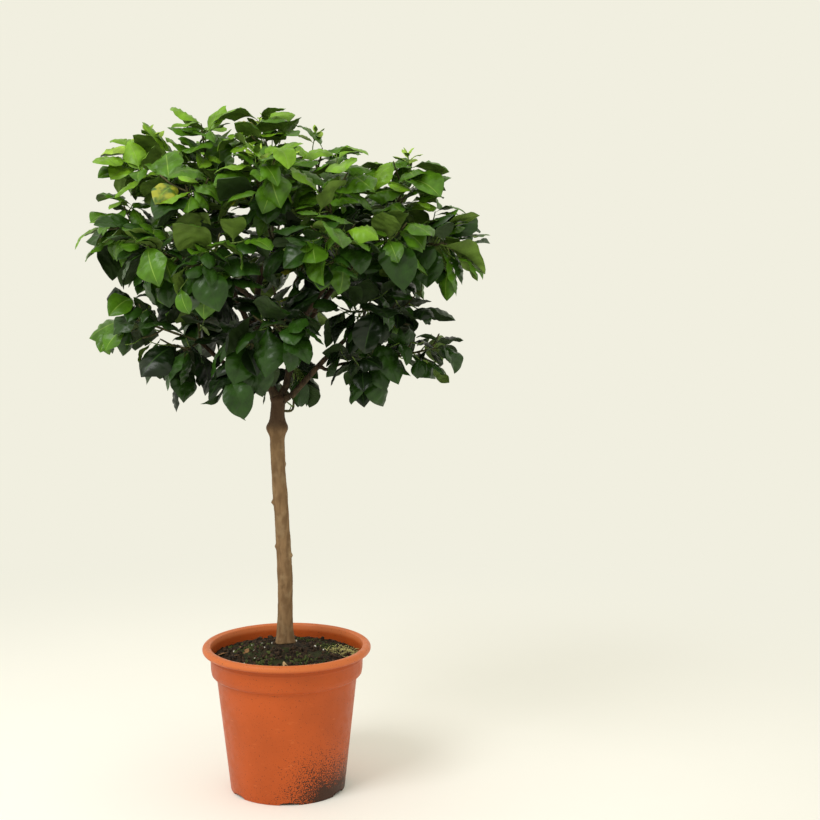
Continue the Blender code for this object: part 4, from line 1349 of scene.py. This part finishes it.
def make_ground_cover(surfaces):
    """Crumbs, white grains, moss, litter and a wood chip on the soil, each kind one piece."""
    rng = random.Random(SEED + 2)

    def strew(name, parts, surface, sharp=70.0):
        build_piece(name, parts, [surfaces[surface]], (), sharp)

    crumbs = []
    for _ in range(CRUMBS):
        size = rng.uniform(*CRUMB_SIZE)
        sizes = [size * rng.uniform(*CRUMB_STRETCH) for _ in range(3)]
        crumbs.append(lump(on_soil(*spot_in_pot(rng), size * 0.3), sizes, 0.5, rng))
    strew("soil_crumbs", crumbs, "soil_crumb")
    grains = []
    for _ in range(GRAINS):
        size = rng.uniform(*GRAIN_SIZE)
        grains.append(lump(on_soil(*spot_in_pot(rng), size * 0.6), [size] * 3, 0.35, rng))
    strew("soil_grains", grains, "soil_grain", 30.0)
    moss = []
    for k in range(MOSS_LUMPS):
        x, y = spot_in_patch(rng, MOSS_PATCHES[k % len(MOSS_PATCHES)])
        size = rng.uniform(*MOSS_SIZE)
        moss.append(lump(on_soil(x, y, size * 0.2), [size, size, size * 0.6], 0.9, rng))
    strew("soil_moss", moss, "moss_green")
    straw = []
    for _ in range(STRAWS):
        start = on_soil(*spot_in_patch(rng, PALE_MOSS), STRAW_RADII[0])
        way = Vector((rng.uniform(-1, 1), rng.uniform(-1, 1), rng.uniform(0.0, 0.5))).normalized()
        length = rng.uniform(*STRAW_LENGTH)
        line = [start, start + way * length / 2 + UP * STRAW_ARCH, start + way * length]
        straw.append(tube_part(tube_rings(line, STRAW_RADII, 3)))
    strew("dry_moss", straw, "moss_dry")
    litter = []
    for x, y in LITTER:
        turn = rng.uniform(0, math.tau)
        along = Vector((math.cos(turn), math.sin(turn), 0.05)).normalized()
        leaf = Leaf(on_soil(x, y, LITTER_LIFT), along, along.cross(UP).normalized(),
                    rng.uniform(*LITTER_LENGTH), LITTER_WIDTH, rng.uniform(*LITTER_BEND))
        litter.append((fine_leaf(leaf, SMALL_LEAF_ROWS, rng), SHEETS[SMALL_LEAF_ROWS][0], 0))
    strew("leaf_litter", litter, "litter_brown", 100.0)
    chip = lump(on_soil(*CHIP_PLACE, 0.001), CHIP_SIZE, 0.4, rng)
    strew("wood_chip", [chip], "chip_pale", 40.0)


class Surface:
    """A material with a Principled shader, and short calls for the nodes that feed it."""

    def __init__(self, name, roughness, specular=0.5):
        self.material = bpy.data.materials.new(name)
        self.material.use_nodes = True
        self.tree = self.material.node_tree
        self.shader = self.tree.nodes["Principled BSDF"]
        self.shader.inputs["Roughness"].default_value = roughness
        self.shader.inputs["Specular IOR Level"].default_value = specular
        self.place = self.tree.nodes.new("ShaderNodeTexCoord").outputs["Object"]

    def node(self, kind, inputs, **settings):
        node = self.tree.nodes.new(kind)
        for name, value in settings.items():
            setattr(node, name, value)
        for socket, value in inputs.items():
            if isinstance(value, bpy.types.NodeSocket):
                self.tree.links.new(value, node.inputs[socket])
            else:
                node.inputs[socket].default_value = value
        return node

    def noise(self, scale, detail=3.0, stretch=(1.0, 1.0, 1.0)):
        place = self.node("ShaderNodeMapping", {"Vector": self.place, "Scale": stretch}).outputs[0]
        inputs = {"Vector": place, "Scale": scale, "Detail": detail}
        return self.node("ShaderNodeTexNoise", inputs).outputs[0]

    def steps(self, value, low, high, start=0.0, stop=1.0):
        """A smooth step of a value between two limits."""
        node = self.node("ShaderNodeMapRange", {"Value": value, "From Min": low, "From Max": high,
                                                "To Min": start, "To Max": stop},
                         interpolation_type="SMOOTHSTEP")
        return node.outputs[0]

    def maths(self, operation, a, b):
        return self.node("ShaderNodeMath", {0: a, 1: b}, operation=operation).outputs[0]

    def axis(self, name):
        return self.node("ShaderNodeSeparateXYZ", {0: self.place}).outputs[name]

    def mix(self, share, a, b):
        node = self.node("ShaderNodeMix", {0: share, 6: a, 7: b}, data_type="RGBA")
        return node.outputs[2]

    def product(self, a, b):
        return self.maths("MULTIPLY", a, b)

    def total(self, a, b):
        return self.maths("ADD", a, b)

    def colour(self, value):
        self.tree.links.new(value, self.shader.inputs["Base Color"])

    def bump(self, height, strength, distance):
        node = self.node("ShaderNodeBump", {"Height": height, "Strength": strength, "Distance": distance})
        self.tree.links.new(node.outputs[0], self.shader.inputs["Normal"])


def paint(colour, share=1.0):
    """A shader colour from an 8-bit one as a screen shows it, darkened or lightened by a share."""
    linear = [((c / 255 + 0.055) / 1.055) ** 2.4 if c > 10 else c / 255 / 12.92 for c in colour]
    return (*[min(1.0, c * share) for c in linear], 1.0)


def leaf_surface(name, colour, roughness):
    """A waxy green, cloudy in tone, with a fine grain."""
    surface = Surface(name, roughness, 0.3)
    cloud = surface.steps(surface.noise(52.0), 0.30, 0.72)
    surface.colour(surface.mix(cloud, paint(colour, 0.72), paint(colour, 1.28)))
    surface.bump(surface.noise(520.0, 2.0), 0.22, 0.0004)
    return surface.material


def mottled_surface():
    """A leaf with yellow between its veins."""
    surface = Surface("leaf_mottled", 0.45)
    spots = surface.steps(surface.noise(75.0, 2.0), 0.38, 0.62)
    surface.colour(surface.mix(spots, *[paint(colour) for colour in MOTTLED]))
    surface.bump(surface.noise(520.0, 2.0), 0.22, 0.0004)
    return surface.material


def bark_surface(name, base, pale, dark, shaded_red=None):
    """Furrowed bark: dark cracks, pale ridges, and redder wood above the graft where given, darkened partly
    as painted shade under the crown.
    """
    surface = Surface(name, 0.86, 0.25)
    ridges = surface.steps(surface.noise(150.0, 6.0, (1.0, 1.0, 0.30)), 0.36, 0.66)
    colour = surface.mix(ridges, paint(dark), paint(base))
    blotches = surface.steps(surface.noise(60.0, 6.0), 0.48, 0.70)
    colour = surface.mix(surface.product(blotches, 0.6), colour, paint(pale))
    # Painted shade: the wood above the graft, under the crown, is darker as well as redder
    if shaded_red:
        above = surface.steps(surface.axis("Z"), GRAFT_HEIGHT - GRAFT_BLEND, GRAFT_HEIGHT + GRAFT_BLEND)
        colour = surface.mix(surface.product(above, 0.85), colour, paint(shaded_red))
    surface.colour(colour)
    surface.bump(surface.noise(260.0, 6.0, (1.0, 1.0, 0.22)), 0.6, 0.0012)
    return surface.material


def pot_surface():
    """Orange plastic: a painted highlight on the top of the rim, faint clouds and scuffs, and soil splashed
    on the lower right.
    """
    surface = Surface("pot_orange", 0.42, 0.25)
    x, y, z = (surface.axis(name) for name in "XYZ")
    cloud = surface.steps(surface.noise(13.0, 4.0), 0.3, 0.7)
    colour = surface.mix(cloud, paint(POT_COLOUR, 0.92), paint(POT_COLOUR, 1.08))
    # Painted highlight: the upper half of the rolled lip is paler, as if lit from above
    rim = surface.steps(z, LIP_CENTRE[1] - LIP_RADIUS, LIP_CENTRE[1])
    colour = surface.mix(surface.product(rim, 0.7), colour, paint(RIM_SHEEN_AND_SCUFF_COLOUR))
    scuffs = surface.steps(surface.noise(60.0, 6.0, (1.0, 1.0, 2.6)), 0.62, 0.80, 0.0, 0.35)
    colour = surface.mix(scuffs, colour, paint(RIM_SHEEN_AND_SCUFF_COLOUR, 1.1))
    toward = surface.total(surface.product(x, SPLASH_TOWARD[0]), surface.product(y, SPLASH_TOWARD[1]))
    splashed = surface.product(surface.steps(toward, *SPLASH_EDGE), surface.steps(z, SPLASH_HEIGHT, 0.0))
    wiped = surface.steps(z, WIPED_HEIGHT, 0.0, 0.0, 0.12)
    density = surface.total(surface.product(splashed, 0.85), wiped)
    grit = surface.total(surface.noise(620.0, 5.0), surface.product(density, 0.30))
    specks = surface.steps(grit, 0.655, 0.695)
    clotted = surface.total(density, surface.product(surface.noise(46.0, 6.0), 0.9))
    film = surface.steps(clotted, 1.25, 1.33, 0.0, 0.95)
    crust = surface.mix(surface.steps(surface.noise(240.0, 5.0), 0.42, 0.6),
                        *[paint(colour) for colour in DIRT_COLOURS])
    colour = surface.mix(film, colour, crust)
    surface.colour(surface.mix(specks, colour, paint(SPECK_COLOUR)))
    gloss = surface.steps(surface.noise(90.0, 4.0), 0.3, 0.7, 0.36, 0.52)
    surface.tree.links.new(gloss, surface.shader.inputs["Roughness"])
    surface.bump(surface.total(surface.noise(700.0, 2.0), surface.product(specks, 2.0)),
                 0.12, 0.0006)
    return surface.material


def soil_surface():
    """Dark compost with moss in patches."""
    surface = Surface("soil_dark", 0.95, 0.2)
    colour = surface.mix(surface.steps(surface.noise(210.0, 6.0), 0.35, 0.7),
                         *[paint(colour) for colour in SOIL_COLOURS])
    moss = surface.steps(surface.noise(31.0, 4.0), 0.52, 0.62, 0.0, 0.75)
    surface.colour(surface.mix(moss, colour, paint(MOSS_COLOUR)))
    surface.bump(surface.noise(420.0, 6.0), 0.8, 0.0016)
    return surface.material


def plain_grain(name, low, high, roughness, scale):
    """A material with two near tones and a grain, for small things."""
    surface = Surface(name, roughness, 0.3)
    grain = surface.steps(surface.noise(scale, 4.0), 0.35, 0.65)
    surface.colour(surface.mix(grain, paint(low), paint(high)))
    surface.bump(surface.noise(scale * 3, 4.0), 0.5, 0.0006)
    return surface.material


def make_studio():
    """The photo's camera, a cream room, one soft lamp and a floor that fades into the room."""
    camera = add_object("camera", bpy.data.cameras.new("camera"))
    camera.data.sensor_width = SENSOR
    camera.data.lens = FOCAL_WIDTHS * SENSOR
    camera.location = CAMERA_PLACE
    camera.rotation_euler = (math.pi / 2 - CAMERA_DOWN, 0.0, 0.0)
    scene = bpy.context.scene
    scene.camera = camera
    lamp = add_object("lamp", bpy.data.lights.new("lamp", "AREA"))
    lamp.data.size = LAMP_SIZE
    lamp.data.energy = LAMP_POWER
    lamp.location = LAMP_PLACE
    lamp.rotation_euler = (Vector(LAMP_AIM) - Vector(LAMP_PLACE)).to_track_quat("-Z", "Y").to_euler()
    scene.world = bpy.data.worlds.new("room")
    scene.world.use_nodes = True
    scene.world.node_tree.nodes["Background"].inputs["Color"].default_value = paint(ROOM_COLOUR)
    scene.view_settings.view_transform = "Standard"
    half = FLOOR_SIZE / 2
    corners = [(-half, -half, 0), (half, -half, 0), (half, half, 0), (-half, half, 0)]
    mesh = bpy.data.meshes.new("floor")
    mesh.from_pydata(corners, [], [(0, 1, 2, 3)])
    mesh.materials.append(floor_surface())
    add_object("floor", mesh)


def floor_surface():
    """A pale matt floor round the pot that turns into the room's own colour further out."""
    surface = Surface("floor_pale", 0.85, 0.2)
    cloud = surface.noise(3.0, 3.0)
    surface.colour(surface.mix(cloud, paint(FLOOR_COLOUR, 0.98), paint(FLOOR_COLOUR, 1.02)))
    away = surface.node("ShaderNodeVectorMath", {0: surface.place}, operation="LENGTH").outputs["Value"]
    far = surface.steps(away, *FLOOR_FADE)
    glow = surface.node("ShaderNodeEmission", {"Color": paint(ROOM_COLOUR)}).outputs[0]
    ends = {0: far, 1: surface.shader.outputs[0], 2: glow}
    blend = surface.node("ShaderNodeMixShader", ends).outputs[0]
    surface.tree.links.new(blend, surface.tree.nodes["Material Output"].inputs["Surface"])
    return surface.material


def main():
    make_studio()
    leaf_surfaces = [leaf_surface(*tone) for tone in (*TONES, *RIBS, *UNDERSIDES)] + [mottled_surface()]
    small = {name: plain_grain(name, *values) for name, values in SMALL_SURFACES.items()}
    barks = {name: bark_surface(name, *tones) for name, tones in BARKS.items()}
    make_fine_pot(pot_surface())
    make_fine_soil(soil_surface())
    make_ground_cover(small)
    placed = Placed()
    lines, paths = plan_limbs(placed)
    make_bark_trunk(lines["trunk"][0][-1], barks["bark_grey"])
    make_bark_boughs(paths, barks["bark_brown"])
    make_crown(lines, placed, leaf_surfaces, [small["twig_brown"], small["twig_green"]])


main()
